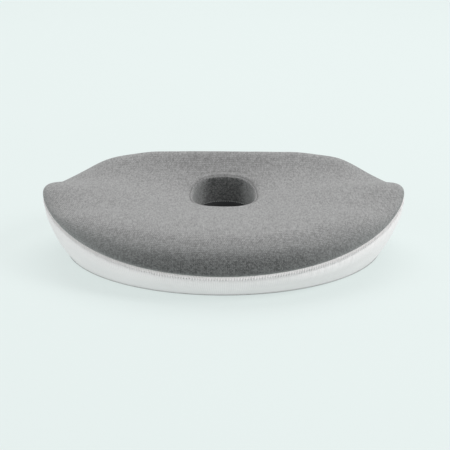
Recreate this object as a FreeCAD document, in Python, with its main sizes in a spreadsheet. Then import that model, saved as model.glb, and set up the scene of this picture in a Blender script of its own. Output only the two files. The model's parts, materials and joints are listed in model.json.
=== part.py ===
import FreeCAD, Part
import Sketcher
import math
import os

os.makedirs("parts", exist_ok=True)

# Contoured seat cushion: a moulded foam core in a thin liner, inside a zipped
# cover with a knit top, a white side band and a dark non-slip base.
# +Z is up, -Y is the front, and the origin is the centre of the footprint.

DIMENSIONS = [
    # plan outline: front arc, wing tip arcs, rear corner arcs, straight back
    ("half_width", 225.0),
    ("front_reach", 168.0),
    ("back_reach", 168.0),
    ("wing_tip_radius", 80.0),
    ("wing_tip_y", 34.0),
    ("back_flat_half", 95.0),
    # hole through the middle
    ("hole_centre_y", 42.0),
    ("hole_half_width", 40.0),
    ("hole_half_length", 50.0),
    ("hole_squareness", 2.6),
    ("lip_radius", 8.0),
    ("rim_seam_turn", 42.0),
    ("sleeve_seam_drop", 30.0),
    # seat surface
    ("seat_height", 73.4),
    ("wing_rise", 16.1),
    ("wing_power", 2.75),
    ("wing_y", 23.7),
    ("wing_spread", 43.0),
    ("back_rise", 43.4),
    ("back_power", 3.15),
    ("fade_width", 205.0),
    ("fade_power", 1.8),
    ("shoulder_rise", 9.0),
    ("shoulder_x", 160.0),
    ("shoulder_spread", 30.5),
    ("front_fall", 6.0),
    ("front_power", 2.5),
    ("dish_depth", 5.0),
    ("dish_spread", 55.0),
    ("roll_width", 37.0),
    ("roll_power", 2.4),
    # seam between the knit top and the white band
    ("seam_front_height", 31.6),
    ("seam_wing_height", 70.8),
    ("seam_back_height", 60.0),
    ("seam_swell", 0.75),
    ("seam_fall_share", 0.45),
    ("seam_tuck", 3.0),
    ("seam_inset", 2.0),
    ("topstitch_drop", 5.0),
    # white wall below the seam
    ("base_inset", 28.8),
    ("wall_power", 1.6),
    ("wall_bulge", 2.0),
    ("wall_ease", 3.0),
    # cloth and gaps
    ("cover_thickness", 1.6),
    ("liner_thickness", 0.6),
    ("layer_gap", 0.3),
    ("panel_gap", 0.2),
    ("base_thickness", 1.4),
    ("thread_radius", 0.5),
    ("topstitch_radius", 0.35),
    ("thread_lift", 0.15),
    ("seam_thread_out", 0.8),
    ("seam_thread_drop", 0.4),
    ("base_thread_out", 0.8),
    ("base_thread_height", 0.8),
    # non-slip dots under the base
    ("dot_radius", 3.5),
    ("dot_depth", 0.7),
    ("dot_pitch", 24.0),
    ("dot_margin", 8.0),
    # zip across the back wall, measured along the wall from the zip line
    ("zip_height", 36.0),
    ("zip_plane_sink", 0.5),
    ("tape_outer", 7.0),
    ("tape_inner", 3.1),
    ("tape_thickness", 0.8),
    ("coil_inner", 0.8),
    ("coil_outer", 3.0),
    ("coil_thickness", 2.4),
    ("coil_half_length", 81.0),
    ("coil_pitch", 2.0),
    ("coil_notch", 0.7),
    ("stop_length", 2.5),
    ("stop_gap", 0.4),
    ("tab_start", 84.0),
    ("tab_thickness", 0.8),
    ("slider_x", -72.0),
    ("slider_length", 12.0),
    ("slider_half_width", 4.5),
    ("slider_plate", 1.0),
    ("slider_clear", 0.4),
    ("slider_rail", 1.05),
    ("divider_length", 2.5),
    ("divider_width", 0.9),
    ("crown_length", 7.0),
    ("crown_width", 1.8),
    ("crown_height", 3.6),
    ("crown_bar", 1.1),
    ("puller_pin_radius", 0.85),
    ("puller_width", 7.0),
    ("puller_thickness", 1.6),
    ("puller_neck", 6.0),
    ("puller_length", 24.0),
    ("puller_arm", 1.3),
    ("puller_hole_radius", 1.8),
]

COLUMNS = 72
THREAD_SIDES = 8
SEAM_TURN_GAP = 0.75
PARTS = []

doc = FreeCAD.newDocument("seat_cushion")
sheet = doc.addObject("Spreadsheet::Sheet", "dims")
for row_number, (name, value) in enumerate(DIMENSIONS, start=1):
    sheet.set("A%d" % row_number, name)
    sheet.set("B%d" % row_number, str(value))
    sheet.setAlias("B%d" % row_number, name)
doc.recompute()


def dim(name):
    return float(sheet.get(name))


# ---------------------------------------------------------------- outline

def arc_chain(inset):
    """Centres and radii of the right-hand arcs of the outline moved in by inset."""
    tip_r = dim("wing_tip_radius")
    tip_x = dim("half_width") - tip_r
    front_m = dim("wing_tip_y") + dim("front_reach")
    front_r = (tip_x ** 2 + front_m ** 2 - tip_r ** 2) / (2 * (front_m - tip_r))
    back_m = dim("back_reach") - dim("wing_tip_y")
    back_q = tip_x - dim("back_flat_half")
    back_r = (back_q ** 2 + back_m ** 2 - tip_r ** 2) / (2 * (back_m - tip_r))
    front = (0.0, front_r - dim("front_reach"), front_r - inset)
    tip = (tip_x, dim("wing_tip_y"), tip_r - inset)
    back = (dim("back_flat_half"), dim("back_reach") - back_r, back_r - inset)
    return front, tip, back


def tangent_angle(big, small):
    """Direction, seen from the hole centre, of the point where two arcs meet."""
    dx = small[0] - big[0]
    dy = small[1] - big[1]
    span = math.hypot(dx, dy)
    x = big[0] + dx / span * big[2]
    y = big[1] + dy / span * big[2]
    return math.atan2(y - dim("hole_centre_y"), x)


def ray_to_arc(angle, arc):
    """Distance from the hole centre to an arc along a direction."""
    cx = arc[0]
    cy = arc[1] - dim("hole_centre_y")
    along = cx * math.cos(angle) + cy * math.sin(angle)
    return along + math.sqrt(along ** 2 - (cx ** 2 + cy ** 2 - arc[2] ** 2))


def outline_radius(angle, inset):
    """Distance from the hole centre to the outline moved in by inset."""
    right = angle if math.cos(angle) >= 0 else math.pi - angle
    right = math.atan2(math.sin(right), math.cos(right))
    front, tip, back = arc_chain(inset)
    back_line = dim("back_reach") - inset - dim("hole_centre_y")
    flat_angle = math.atan2(back_line, dim("back_flat_half"))
    if right < tangent_angle(front, tip):
        return ray_to_arc(right, front)
    if right < tangent_angle(back, tip):
        return ray_to_arc(right, tip)
    if right < flat_angle:
        return ray_to_arc(right, back)
    return back_line / math.sin(right)


def hole_radius(angle, grow=0.0):
    """Distance from the hole centre to the rounded-rectangle hole."""
    power = dim("hole_squareness")
    across = abs(math.cos(angle)) / (dim("hole_half_width") + grow)
    along = abs(math.sin(angle)) / (dim("hole_half_length") + grow)
    return (across ** power + along ** power) ** (-1.0 / power)


def place(angle, radius, height):
    return FreeCAD.Vector(
        radius * math.cos(angle),
        dim("hole_centre_y") + radius * math.sin(angle),
        height,
    )


# ---------------------------------------------------------------- surface

def seat_height(x, y, from_hole):
    """Height of the padded seat away from its rolled edge."""
    wing = dim("wing_rise") * abs(x / dim("half_width")) ** dim("wing_power")
    wing *= math.exp(-((y - dim("wing_y")) / dim("wing_spread")) ** 2)
    dish = dim("dish_depth") * math.exp(-((from_hole / dim("dish_spread")) ** 2))
    if y > 0:
        share = y / dim("back_reach")
        fade = 1 / (1 + abs(x / dim("fade_width")) ** dim("fade_power"))
        away = (abs(x) - dim("shoulder_x")) / dim("shoulder_spread")
        shoulder = dim("shoulder_rise") * math.exp(-away ** 2) * share ** 2
        slope = dim("back_rise") * share ** dim("back_power") * fade + shoulder
    else:
        slope = -dim("front_fall") * (-y / dim("front_reach")) ** dim("front_power")
    return dim("seat_height") + wing + slope - dish


def seam_height(y):
    """Height of the seam between the knit top and the white band."""
    front = dim("seam_front_height")
    wing = dim("seam_wing_height")
    if y < dim("wing_tip_y"):
        share = (y + dim("front_reach")) / (dim("wing_tip_y") + dim("front_reach"))
        share = max(share, 0.0)
        climb = share + dim("seam_swell") * share ** 2 * (1 - share)
        return front + (wing - front) * climb
    fall = (dim("back_reach") - dim("wing_tip_y")) * dim("seam_fall_share")
    share = min((y - dim("wing_tip_y")) / fall, 1.0)
    ease = share * share * (3 - 2 * share)
    return wing + (dim("seam_back_height") - wing) * ease


def outline_point(angle):
    """Radius, seam height and widest height in one direction."""
    radius = outline_radius(angle, 0.0)
    low = seam_height(dim("hole_centre_y") + radius * math.sin(angle))
    return radius, low, low + dim("seam_tuck")


def seat_point(angle, share):
    """Point on the seat, from the lip (share 0) to the widest line (share 1)."""
    edge, _, widest = outline_point(angle)
    hole = hole_radius(angle) + dim("lip_radius")
    radius = hole + (edge - hole) * share
    spot = place(angle, radius, 0.0)
    level = seat_height(spot.x, spot.y, radius - hole)
    reach = min(max((edge - radius) / dim("roll_width"), 0.0), 1.0)
    power = dim("roll_power")
    rise = (1 - (1 - reach) ** power) ** (1 / power)
    spot.z = widest + (level - widest) * rise
    return spot


def lip_point(angle, turn):
    """Point on the rounded lip, turn 0 at the hole wall and 90 on the seat."""
    lip = dim("lip_radius")
    crest = seat_point(angle, 0.0).z
    bend = math.radians(turn)
    radius = hole_radius(angle) + lip * (1 - math.cos(bend))
    return place(angle, radius, crest - lip * (1 - math.sin(bend)))


def under_point(angle, share):
    """Point on the edge turning under, from the widest line to the seam."""
    widest = outline_point(angle)[2]
    radius = outline_radius(angle, dim("seam_inset") * share ** 2)
    return place(angle, radius, widest - dim("seam_tuck") * share)


def wall_inset(share):
    run = dim("base_inset") - dim("seam_inset")
    bow = dim("wall_bulge") * math.sin(math.pi * share)
    return dim("seam_inset") + run * share ** dim("wall_power") - bow


def wall_point(angle, share):
    """Point on the white wall, from the seam (share 0) to the base edge (share 1)."""
    low = outline_point(angle)[1]
    return place(angle, outline_radius(angle, wall_inset(share)), low * (1 - share))


def hole_point(angle, height):
    return place(angle, hole_radius(angle), height)


# ---------------------------------------------------------------- rings

def ring(point_at):
    """One closed row of points round the cushion."""
    step = 2 * math.pi / COLUMNS
    return [point_at(-math.pi / 2 + step * i) for i in range(COLUMNS)]


def spaced(start, stop, count):
    return [start + (stop - start) * i / (count - 1) for i in range(count)]


def seat_rings():
    """Rows over the seat, closer together towards the rolled edge."""
    shares = [1 - (1 - t) ** 1.7 for t in spaced(0.0, 1.0, 19)]
    return [ring(lambda a, s=s: seat_point(a, s)) for s in shares]


def lip_rings(first_turn):
    turns = spaced(first_turn, 90.0, 5)[:-1]
    return [ring(lambda a, t=t: lip_point(a, t)) for t in turns]


def under_rings():
    return [ring(lambda a, s=s: under_point(a, s)) for s in (0.35, 0.7, 1.0)]


def normals(rows):
    """Unit outward direction at every point of a set of rows."""
    result = []
    last = len(rows) - 1
    for k, row in enumerate(rows):
        ahead = rows[min(k + 1, last)]
        behind = rows[max(k - 1, 0)]
        line = []
        for i in range(COLUMNS):
            around = row[(i + 1) % COLUMNS] - row[i - 1]
            along = ahead[i] - behind[i]
            line.append(along.cross(around).normalize())
        result.append(line)
    return result


def moved(rows, depth):
    """Rows pushed inwards by depth, or outwards when depth is negative."""
    directions = normals(rows)
    return [
        [p - n * depth for p, n in zip(row, line)]
        for row, line in zip(rows, directions)
    ]


# ---------------------------------------------------------------- surfaces

def closed_curve(points):
    curve = Part.BSplineCurve()
    curve.interpolate(Points=points, PeriodicFlag=True,
                      Parameters=[float(i) for i in range(COLUMNS + 1)])
    return curve


def row_spacing(rows):
    """Parameters that follow the mean distance between rows."""
    marks = [0.0]
    for near, far in zip(rows, rows[1:]):
        gap = sum(p.distanceToPoint(q) for p, q in zip(near, far)) / COLUMNS
        marks.append(marks[-1] + max(gap, 0.05))
    return marks


def skin(rows):
    """One smooth surface through closed rows of points."""
    curves = [closed_curve(row) for row in rows]
    if len(rows) == 2:
        poles = list(zip(*[c.getPoles() for c in curves]))
        v_knots, v_mults, v_degree = [0.0, 1.0], [2, 2], 1
    else:
        marks = row_spacing(rows)
        poles = []
        for i in range(curves[0].NbPoles):
            column = Part.BSplineCurve()
            column.interpolate(Points=[c.getPole(i + 1) for c in curves],
                               Parameters=marks)
            poles.append(column.getPoles())
        v_knots, v_mults = column.getKnots(), column.getMultiplicities()
        v_degree = column.Degree
    surface = Part.BSplineSurface()
    surface.buildFromPolesMultsKnots(
        [list(line) for line in poles],
        curves[0].getMultiplicities(), v_mults,
        curves[0].getKnots(), v_knots,
        True, False, curves[0].Degree, v_degree)
    return surface.toShape()


def closed_solid(faces):
    shell = Part.makeShell(faces)
    shell.sewShape()
    solid = Part.makeSolid(Part.Shell(shell.Faces))
    if solid.Volume < 0:
        solid.reverse()
    return solid


def cloth(rows, depth, thickness):
    """Sheet of cloth that lies depth below the rows."""
    outer = moved(rows, depth)
    inner = moved(rows, depth + thickness)
    faces = [
        skin(outer),
        skin(inner),
        skin([outer[0], inner[0]]),
        skin([outer[-1], inner[-1]]),
    ]
    return closed_solid(faces)


def thread(points, radius):
    """Cord with flat sides along a closed row of points."""
    rows = []
    for side in range(THREAD_SIDES):
        spin = 2 * math.pi * side / THREAD_SIDES
        row = []
        for i, point in enumerate(points):
            angle = -math.pi / 2 + 2 * math.pi * i / COLUMNS
            out = FreeCAD.Vector(math.cos(angle), math.sin(angle), 0.0)
            up = FreeCAD.Vector(0.0, 0.0, 1.0)
            row.append(point + (out * math.cos(spin) + up * math.sin(spin)) * radius)
        rows.append(row)
    return closed_solid([skin([rows[k - 1], rows[k]]) for k in range(THREAD_SIDES)])


def shape_part(name, shape):
    part = doc.addObject("Part::Feature", name)
    part.Label = name
    part.Shape = shape
    PARTS.append(part)
    return part


# ---------------------------------------------------------------- soft parts

WALL_ROWS = 12
EDGE_ROWS = 4


def to_floor(rows, floor):
    """Rows whose last one is set down to a level."""
    last = [FreeCAD.Vector(p.x, p.y, floor) for p in rows[-1]]
    return rows[:-1] + [last]


def band_rings(floor):
    """Rows down the wall, from just under the seam to a level above the ground."""
    def at(angle, share):
        low = outline_point(angle)[1]
        start = dim("panel_gap") / low
        stop = 1 - floor / low
        return wall_point(angle, start + (stop - start) * share)
    rows = [ring(lambda a, s=s: at(a, s)) for s in spaced(0.0, 1.0, WALL_ROWS)]
    return to_floor(rows, floor)


def core_rows(depth, floor):
    """Rows lying depth inside the cover, with the crowded ones at the edge left out."""
    rows = lip_rings(0.0) + seat_rings() + under_rings() + band_rings(floor)[1:]
    seam = len(rows) - WALL_ROWS
    lying = []
    for k, (row, line) in enumerate(zip(rows, normals(rows))):
        if k == seam:
            lying.append(pushed_level(row, depth + dim("wall_ease") / 2))
        elif abs(k - seam) > EDGE_ROWS or k - seam == EDGE_ROWS:
            push = depth + (dim("wall_ease") if k > seam else 0.0)
            lying.append([p - n * push for p, n in zip(row, line)])
    return to_floor(lying, floor)


def pushed_level(row, push):
    """A row moved level towards its middle, square to its own line."""
    result = []
    for i, point in enumerate(row):
        around = row[(i + 1) % COLUMNS] - row[i - 1]
        out = FreeCAD.Vector(around.y, -around.x, 0.0).normalize()
        result.append(point - out * push)
    return result


def core_foot(row, floor):
    return [FreeCAD.Vector(p.x, p.y, floor) for p in row]


def build_foam():
    depth = dim("cover_thickness") + dim("liner_thickness") + 2 * dim("layer_gap")
    floor = dim("base_thickness") + dim("liner_thickness") + 2 * dim("layer_gap")
    rows = core_rows(depth, floor)
    foot = core_foot(rows[0], floor)
    return closed_solid([skin([foot, rows[0]]), skin(rows), skin([rows[-1], foot])])


def build_liner_top():
    """Liner over the seat and the wall, open underneath."""
    depth = dim("cover_thickness") + dim("layer_gap")
    floor = dim("base_thickness") + dim("liner_thickness") + 2 * dim("layer_gap")
    outer = core_rows(depth, floor)
    inner = core_rows(depth + dim("liner_thickness"), floor)
    return closed_solid([
        skin(outer),
        skin(inner),
        skin([outer[0], inner[0]]),
        skin([outer[-1], inner[-1]]),
    ])


def build_liner_sleeve():
    """Liner down the hole wall."""
    depth = dim("cover_thickness") + dim("layer_gap")
    floor = dim("base_thickness") + dim("liner_thickness") + 2 * dim("layer_gap")
    outer = core_rows(depth, floor)[0]
    inner = core_rows(depth + dim("liner_thickness"), floor)[0]
    drop = FreeCAD.Vector(0, 0, dim("panel_gap"))
    outer_top = [p - drop for p in outer]
    inner_top = [p - drop for p in inner]
    outer_foot = core_foot(outer, floor)
    inner_foot = core_foot(inner, floor)
    return closed_solid([
        skin([outer_foot, outer_top]),
        skin([inner_foot, inner_top]),
        skin([outer_foot, inner_foot]),
        skin([outer_top, inner_top]),
    ])


def build_top_panel():
    """Knit top, from the rim seam over the seat and under the edge to the seam."""
    first = dim("rim_seam_turn") + SEAM_TURN_GAP
    rows = lip_rings(first) + seat_rings() + under_rings()
    return cloth(rows, 0.0, dim("cover_thickness"))


def sleeve_seam_height(angle):
    return lip_point(angle, 90.0).z - dim("sleeve_seam_drop")


def build_sleeve_upper():
    """Knit sleeve from the sleeve seam up to the rim seam."""
    def wall_at(angle, share):
        low = sleeve_seam_height(angle) + dim("panel_gap")
        high = lip_point(angle, 0.0).z
        return hole_point(angle, low + (high - low) * share)
    wall = [ring(lambda a, s=s: wall_at(a, s)) for s in (0.0, 0.35, 0.7)]
    last = dim("rim_seam_turn") - SEAM_TURN_GAP
    lip = [ring(lambda a, t=t: lip_point(a, t)) for t in spaced(0.0, last, 4)]
    return cloth(wall + lip, 0.0, dim("cover_thickness"))


def build_sleeve_lower():
    """Dark sleeve from the base up to the sleeve seam."""
    floor = dim("base_thickness") + dim("panel_gap")
    low = ring(lambda a: hole_point(a, floor))
    high = ring(lambda a: hole_point(a, sleeve_seam_height(a)))
    grow = dim("cover_thickness")
    back_low = ring(lambda a: place(a, hole_radius(a, grow), floor))
    back_high = ring(lambda a: place(a, hole_radius(a, grow), sleeve_seam_height(a)))
    return closed_solid([
        skin([low, high]),
        skin([back_low, back_high]),
        skin([low, back_low]),
        skin([high, back_high]),
    ])


def build_band_ring():
    """White wall all round, before the back is opened for the zip panel."""
    floor = dim("base_thickness") + dim("panel_gap")
    return cloth(band_rings(floor), 0.0, dim("cover_thickness"))


def wire_of(points):
    return Part.Wire([closed_curve(points).toShape()])


def flat_ring(outer, inner):
    """Flat face between two closed rows at one level."""
    return Part.makeFace([wire_of(outer), wire_of(inner)], "Part::FaceMakerBullseye")


def plate(name, face, thickness_name):
    """Flat cloth panel: a face thickened upwards by a named dimension."""
    profile = doc.addObject("Part::Feature", name + "_outline")
    profile.Shape = face
    panel = doc.addObject("Part::Extrusion", name)
    panel.Base = profile
    panel.DirMode = "Custom"
    panel.Dir = FreeCAD.Vector(0, 0, 1)
    panel.setExpression("LengthFwd", "dims." + thickness_name)
    panel.Solid = True
    return panel


def build_liner_base():
    floor = dim("base_thickness") + dim("layer_gap")
    depth = dim("cover_thickness") + dim("layer_gap")
    rows = core_rows(depth, floor)
    return flat_ring(core_foot(rows[-1], floor), core_foot(rows[0], floor))


def build_base_face():
    outer = ring(lambda a: place(a, outline_radius(a, dim("base_inset")), 0.0))
    inner = ring(lambda a: place(a, hole_radius(a), 0.0))
    return flat_ring(outer, inner)


def dot_centres():
    """Centres of the dots on a staggered grid, clear of both edges of the base."""
    pitch = dim("dot_pitch")
    margin = dim("dot_margin")
    centres = []
    for line in range(-8, 9):
        y = line * pitch * math.sqrt(3) / 2
        shift = 0.5 * (line % 2)
        for column in range(-10, 10):
            x = (column + shift) * pitch
            dy = y - dim("hole_centre_y")
            angle = math.atan2(dy, x)
            radius = math.hypot(x, dy)
            inside = outline_radius(angle, dim("base_inset") + margin)
            if hole_radius(angle, margin) < radius < inside:
                centres.append(FreeCAD.Vector(x, y, 0.0))
    return centres


def build_dots():
    discs = [Part.makeCylinder(dim("dot_radius"), dim("dot_depth"), c) for c in dot_centres()]
    return Part.makeCompound(discs)


# ---------------------------------------------------------------- threads

def lifted(rows, index, lift):
    """One row of a set, moved outwards."""
    return [p + n * lift for p, n in zip(rows[index], normals(rows)[index])]


def build_top_seam():
    out = dim("seam_thread_out")
    def at(angle):
        spot = under_point(angle, 1.0)
        radius = outline_radius(angle, dim("seam_inset") - out)
        return place(angle, radius, spot.z - dim("seam_thread_drop"))
    return thread(ring(at), dim("thread_radius"))


def build_topstitch():
    def at(angle, extra):
        low = outline_point(angle)[1]
        return wall_point(angle, (dim("topstitch_drop") + extra) / low)
    rows = [ring(lambda a, e=e: at(a, e)) for e in (-1.0, 0.0, 1.0)]
    lift = dim("topstitch_radius") + dim("thread_lift")
    return thread(lifted(rows, 1, lift), dim("topstitch_radius"))


def build_base_seam():
    inset = dim("base_inset") - dim("base_thread_out")
    height = dim("base_thread_height")
    row = ring(lambda a: place(a, outline_radius(a, inset), height))
    return thread(row, dim("thread_radius"))


def build_rim_seam():
    turn = dim("rim_seam_turn")
    rows = [ring(lambda a, t=t: lip_point(a, t)) for t in (turn - 5, turn, turn + 5)]
    lift = dim("thread_radius") + dim("thread_lift")
    return thread(lifted(rows, 1, lift), dim("thread_radius"))


def build_sleeve_seam():
    inward = dim("thread_radius") + dim("thread_lift")
    row = ring(lambda a: place(a, hole_radius(a) - inward, sleeve_seam_height(a)))
    return thread(row, dim("thread_radius"))


# ---------------------------------------------------------------- back panel

def wall_lean(share):
    """How far the back wall moves in for each unit it goes down."""
    step = 0.002
    return (wall_inset(share + step) - wall_inset(share)) / (step * dim("seam_back_height"))


def back_profile(z_low, z_high, depth):
    """Line down the flat back wall between two heights, depth inside the cover."""
    top = dim("seam_back_height")
    points = []
    for z in spaced(z_high, z_low, 9):
        share = 1 - z / top
        lean = wall_lean(share)
        size = math.hypot(1.0, lean)
        y = dim("back_reach") - wall_inset(share) - depth / size
        points.append(FreeCAD.Vector(0.0, y, z + depth * lean / size))
    return points


def build_back_strip(z_low, z_high):
    """White strip of the back wall, straight along X."""
    outer = Part.BSplineCurve()
    outer.interpolate(back_profile(z_low, z_high, 0.0))
    inner = Part.BSplineCurve()
    inner.interpolate(back_profile(z_low, z_high, dim("cover_thickness")))
    edges = [
        outer.toShape(),
        Part.makeLine(outer.EndPoint, inner.EndPoint),
        inner.toShape(),
        Part.makeLine(inner.StartPoint, outer.StartPoint),
    ]
    face = Part.Face(Part.Wire(Part.__sortEdges__(edges)))
    half = dim("back_flat_half")
    face.translate(FreeCAD.Vector(-half, 0, 0))
    return face.extrude(FreeCAD.Vector(2 * half, 0, 0))


# ---------------------------------------------------------------- zip parts
# Each is drawn in its own frame: X along the zip, Y up the slope of the wall,
# Z straight out of the wall, and zero in the middle plane of the tapes.

def zip_placement():
    """Frame of the zip on the sloping back wall."""
    share = 1 - dim("zip_height") / dim("seam_back_height")
    tilt = math.atan(wall_lean(share))
    up = FreeCAD.Vector(0, math.sin(tilt), math.cos(tilt))
    out = FreeCAD.Vector(0, math.cos(tilt), -math.sin(tilt))
    wall = FreeCAD.Vector(0, dim("back_reach") - wall_inset(share), dim("zip_height"))
    turn = FreeCAD.Rotation(FreeCAD.Vector(-1, 0, 0), up, out, "ZXY")
    return FreeCAD.Placement(wall - out * dim("zip_plane_sink"), turn)


def new_body(name):
    body = doc.addObject("PartDesign::Body", name)
    body.Label = name
    PARTS.append(body)
    return body


def origin_plane(body, role):
    return [item for item in body.Origin.OriginFeatures if item.Role == role][0]


def sketch_in(body, name, level):
    """Sketch on the body's XY plane, raised by an expression."""
    sketch = body.newObject("Sketcher::SketchObject", name)
    sketch.AttachmentSupport = [(origin_plane(body, "XY_Plane"), "")]
    sketch.MapMode = "FlatFace"
    sketch.setExpression("AttachmentOffset.Base.z", level)
    return sketch


def bind_point(sketch, edge, end, x, y):
    """Tie one end of an edge to a pair of expressions."""
    for kind, text in (("DistanceX", x), ("DistanceY", y)):
        value = float(sketch.evalExpression(text))
        index = sketch.addConstraint(Sketcher.Constraint(kind, -1, 1, edge, end, value))
        sketch.setExpression("Constraints[%d]" % index, text)


def add_polygon(sketch, corners):
    """Closed outline through corners given as pairs of expressions."""
    first = sketch.GeometryCount
    spots = [
        FreeCAD.Vector(*[float(sketch.evalExpression(t)) for t in corner], 0)
        for corner in corners
    ]
    for i, spot in enumerate(spots):
        sketch.addGeometry(Part.LineSegment(spot, spots[(i + 1) % len(spots)]))
    for i in range(len(spots)):
        after = first + (i + 1) % len(spots)
        sketch.addConstraint(Sketcher.Constraint("Coincident", first + i, 2, after, 1))
    for i, corner in enumerate(corners):
        bind_point(sketch, first + i, 1, corner[0], corner[1])


def rectangle(x0, y0, x1, y1):
    return [(x0, y0), (x1, y0), (x1, y1), (x0, y1)]


def add_pad(body, name, outlines, level, length):
    """Pad of one or more outlines from a level outwards."""
    sketch = sketch_in(body, name + "_sketch", level)
    for corners in outlines:
        add_polygon(sketch, corners)
    pad = body.newObject("PartDesign::Pad", name)
    pad.Profile = sketch
    pad.setExpression("Length", length)
    body.Tip = pad
    doc.recompute()
    return pad


def build_tape(name, side):
    """Woven tape on one side of the coils, sewn to the white strip."""
    body = new_body(name)
    inner = "%d * dims.tape_inner" % side
    outer = "%d * dims.tape_outer" % side
    corners = rectangle("-dims.back_flat_half", inner, "dims.back_flat_half", outer)
    add_pad(body, name + "_pad", [corners], "-dims.tape_thickness / 2", "dims.tape_thickness")
    body.Placement = zip_placement()


def build_coil(name, side):
    """Nylon coil: a bead notched at every turn along its inner edge."""
    body = new_body(name)
    inner = "%d * dims.coil_inner" % side
    outer = "%d * dims.coil_outer" % side
    corners = rectangle("-dims.coil_half_length", inner, "dims.coil_half_length", outer)
    add_pad(body, name + "_bead", [corners], "-dims.coil_thickness / 2", "dims.coil_thickness")
    sketch = sketch_in(body, name + "_notch_sketch", "dims.coil_thickness / 2")
    start = "-dims.coil_half_length + dims.coil_pitch"
    add_polygon(sketch, rectangle(
        start, "%d * (dims.coil_inner - 0.5)" % side,
        start + " + dims.coil_notch", "%d * (dims.coil_outer - 0.8)" % side))
    notch = body.newObject("PartDesign::Pocket", name + "_notch")
    notch.Profile = sketch
    notch.Type = "ThroughAll"
    doc.recompute()
    body.Tip = notch
    row = body.newObject("PartDesign::LinearPattern", name + "_turns")
    row.Originals = [notch]
    row.Direction = (sketch, ["H_Axis"])
    row.setExpression("Length", "2 * dims.coil_half_length - 3 * dims.coil_pitch")
    row.setExpression(
        "Occurrences", "floor((2 * dims.coil_half_length - 3 * dims.coil_pitch) / dims.coil_pitch) + 1")
    body.Tip = row
    body.Placement = zip_placement()


def build_bottom_stop():
    """Clamped metal block that closes the open end of the zip."""
    body = new_body("zip_bottom_stop")
    x0 = "dims.coil_half_length + dims.stop_gap"
    corners = rectangle(
        x0, "-dims.coil_outer", x0 + " + dims.stop_length - dims.stop_gap - 0.2",
        "dims.coil_outer")
    add_pad(body, "stop_block", [corners], "-dims.coil_thickness / 2", "dims.coil_thickness")
    body.Placement = zip_placement()


def build_top_stops():
    """Two small blocks that stop the slider at the closed end."""
    x1 = "-(dims.coil_half_length + dims.stop_gap)"
    x0 = x1 + " - (dims.stop_length - dims.stop_gap - 0.2)"
    blocks = []
    for side in (1, -1):
        block = doc.addObject("Part::Box", "top_stop_block")
        block.setExpression("Length", "dims.stop_length - dims.stop_gap - 0.2")
        block.setExpression("Width", "dims.coil_outer - dims.coil_inner")
        block.setExpression("Height", "dims.coil_thickness")
        low = "dims.coil_inner" if side > 0 else "-dims.coil_outer"
        block.setExpression("Placement.Base.x", x0)
        block.setExpression("Placement.Base.y", low)
        block.setExpression("Placement.Base.z", "-dims.coil_thickness / 2")
        blocks.append(block)
    stops = doc.addObject("Part::Compound", "zip_top_stops")
    stops.Links = blocks
    stops.Placement = zip_placement()
    stops.Label = "zip_top_stops"
    PARTS.append(stops)


def build_end_tabs():
    """Cloth tabs sewn over both ends of the zip."""
    tabs = []
    for side in (1, -1):
        tab = doc.addObject("Part::Box", "end_tab")
        tab.setExpression("Length", "dims.back_flat_half - dims.tab_start")
        tab.setExpression("Width", "2 * dims.tape_outer")
        tab.setExpression("Height", "dims.tab_thickness")
        start = "dims.tab_start" if side > 0 else "-dims.back_flat_half"
        tab.setExpression("Placement.Base.x", start)
        tab.setExpression("Placement.Base.y", "-dims.tape_outer")
        tab.setExpression("Placement.Base.z", "dims.tape_thickness / 2 + dims.panel_gap")
        tabs.append(tab)
    pair = doc.addObject("Part::Compound", "zip_end_tabs")
    pair.Links = tabs
    pair.Placement = zip_placement()
    pair.Label = "zip_end_tabs"
    PARTS.append(pair)


def build_slider():
    """Slider: two plates joined by a divider, side rails, and a crown on top."""
    body = new_body("zip_slider")
    half = "dims.slider_length / 2"
    wide = "dims.slider_half_width"
    gap = "(dims.coil_thickness / 2 + dims.slider_clear)"
    plate_outline = [
        ("dims.slider_x - " + half, "-%s + 1" % wide),
        ("dims.slider_x - %s + 3" % half, "-" + wide),
        ("dims.slider_x + %s - 2" % half, "-" + wide),
        ("dims.slider_x + " + half, "-%s + 1" % wide),
        ("dims.slider_x + " + half, wide + " - 1"),
        ("dims.slider_x + %s - 2" % half, wide),
        ("dims.slider_x - %s + 3" % half, wide),
        ("dims.slider_x - " + half, wide + " - 1"),
    ]
    add_pad(body, "lower_plate", [plate_outline], "-%s - dims.slider_plate" % gap,
            "dims.slider_plate")
    divider = rectangle(
        "dims.slider_x - %s + 1" % half, "-dims.divider_width / 2",
        "dims.slider_x - %s + 1 + dims.divider_length" % half, "dims.divider_width / 2")
    add_pad(body, "divider", [divider], "-%s - 0.1" % gap, "2 * %s + 0.2" % gap)
    add_pad(body, "upper_plate", [plate_outline], gap, "dims.slider_plate")
    rails = [
        rectangle(
            "dims.slider_x - %s + 3" % half, "%d * dims.slider_half_width" % side,
            "dims.slider_x + %s - 2" % half,
            "%d * (dims.slider_half_width - dims.slider_rail)" % side)
        for side in (1, -1)
    ]
    drop = "(dims.coil_thickness / 2 - dims.tape_thickness / 2)"
    add_pad(body, "lower_rails", rails, "-%s - 0.1" % gap, drop + " + 0.1")
    add_pad(body, "upper_rails", rails, "%s - %s" % (gap, drop), drop + " + 0.1")
    add_crown(body, gap)
    body.Placement = zip_placement()


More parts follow.
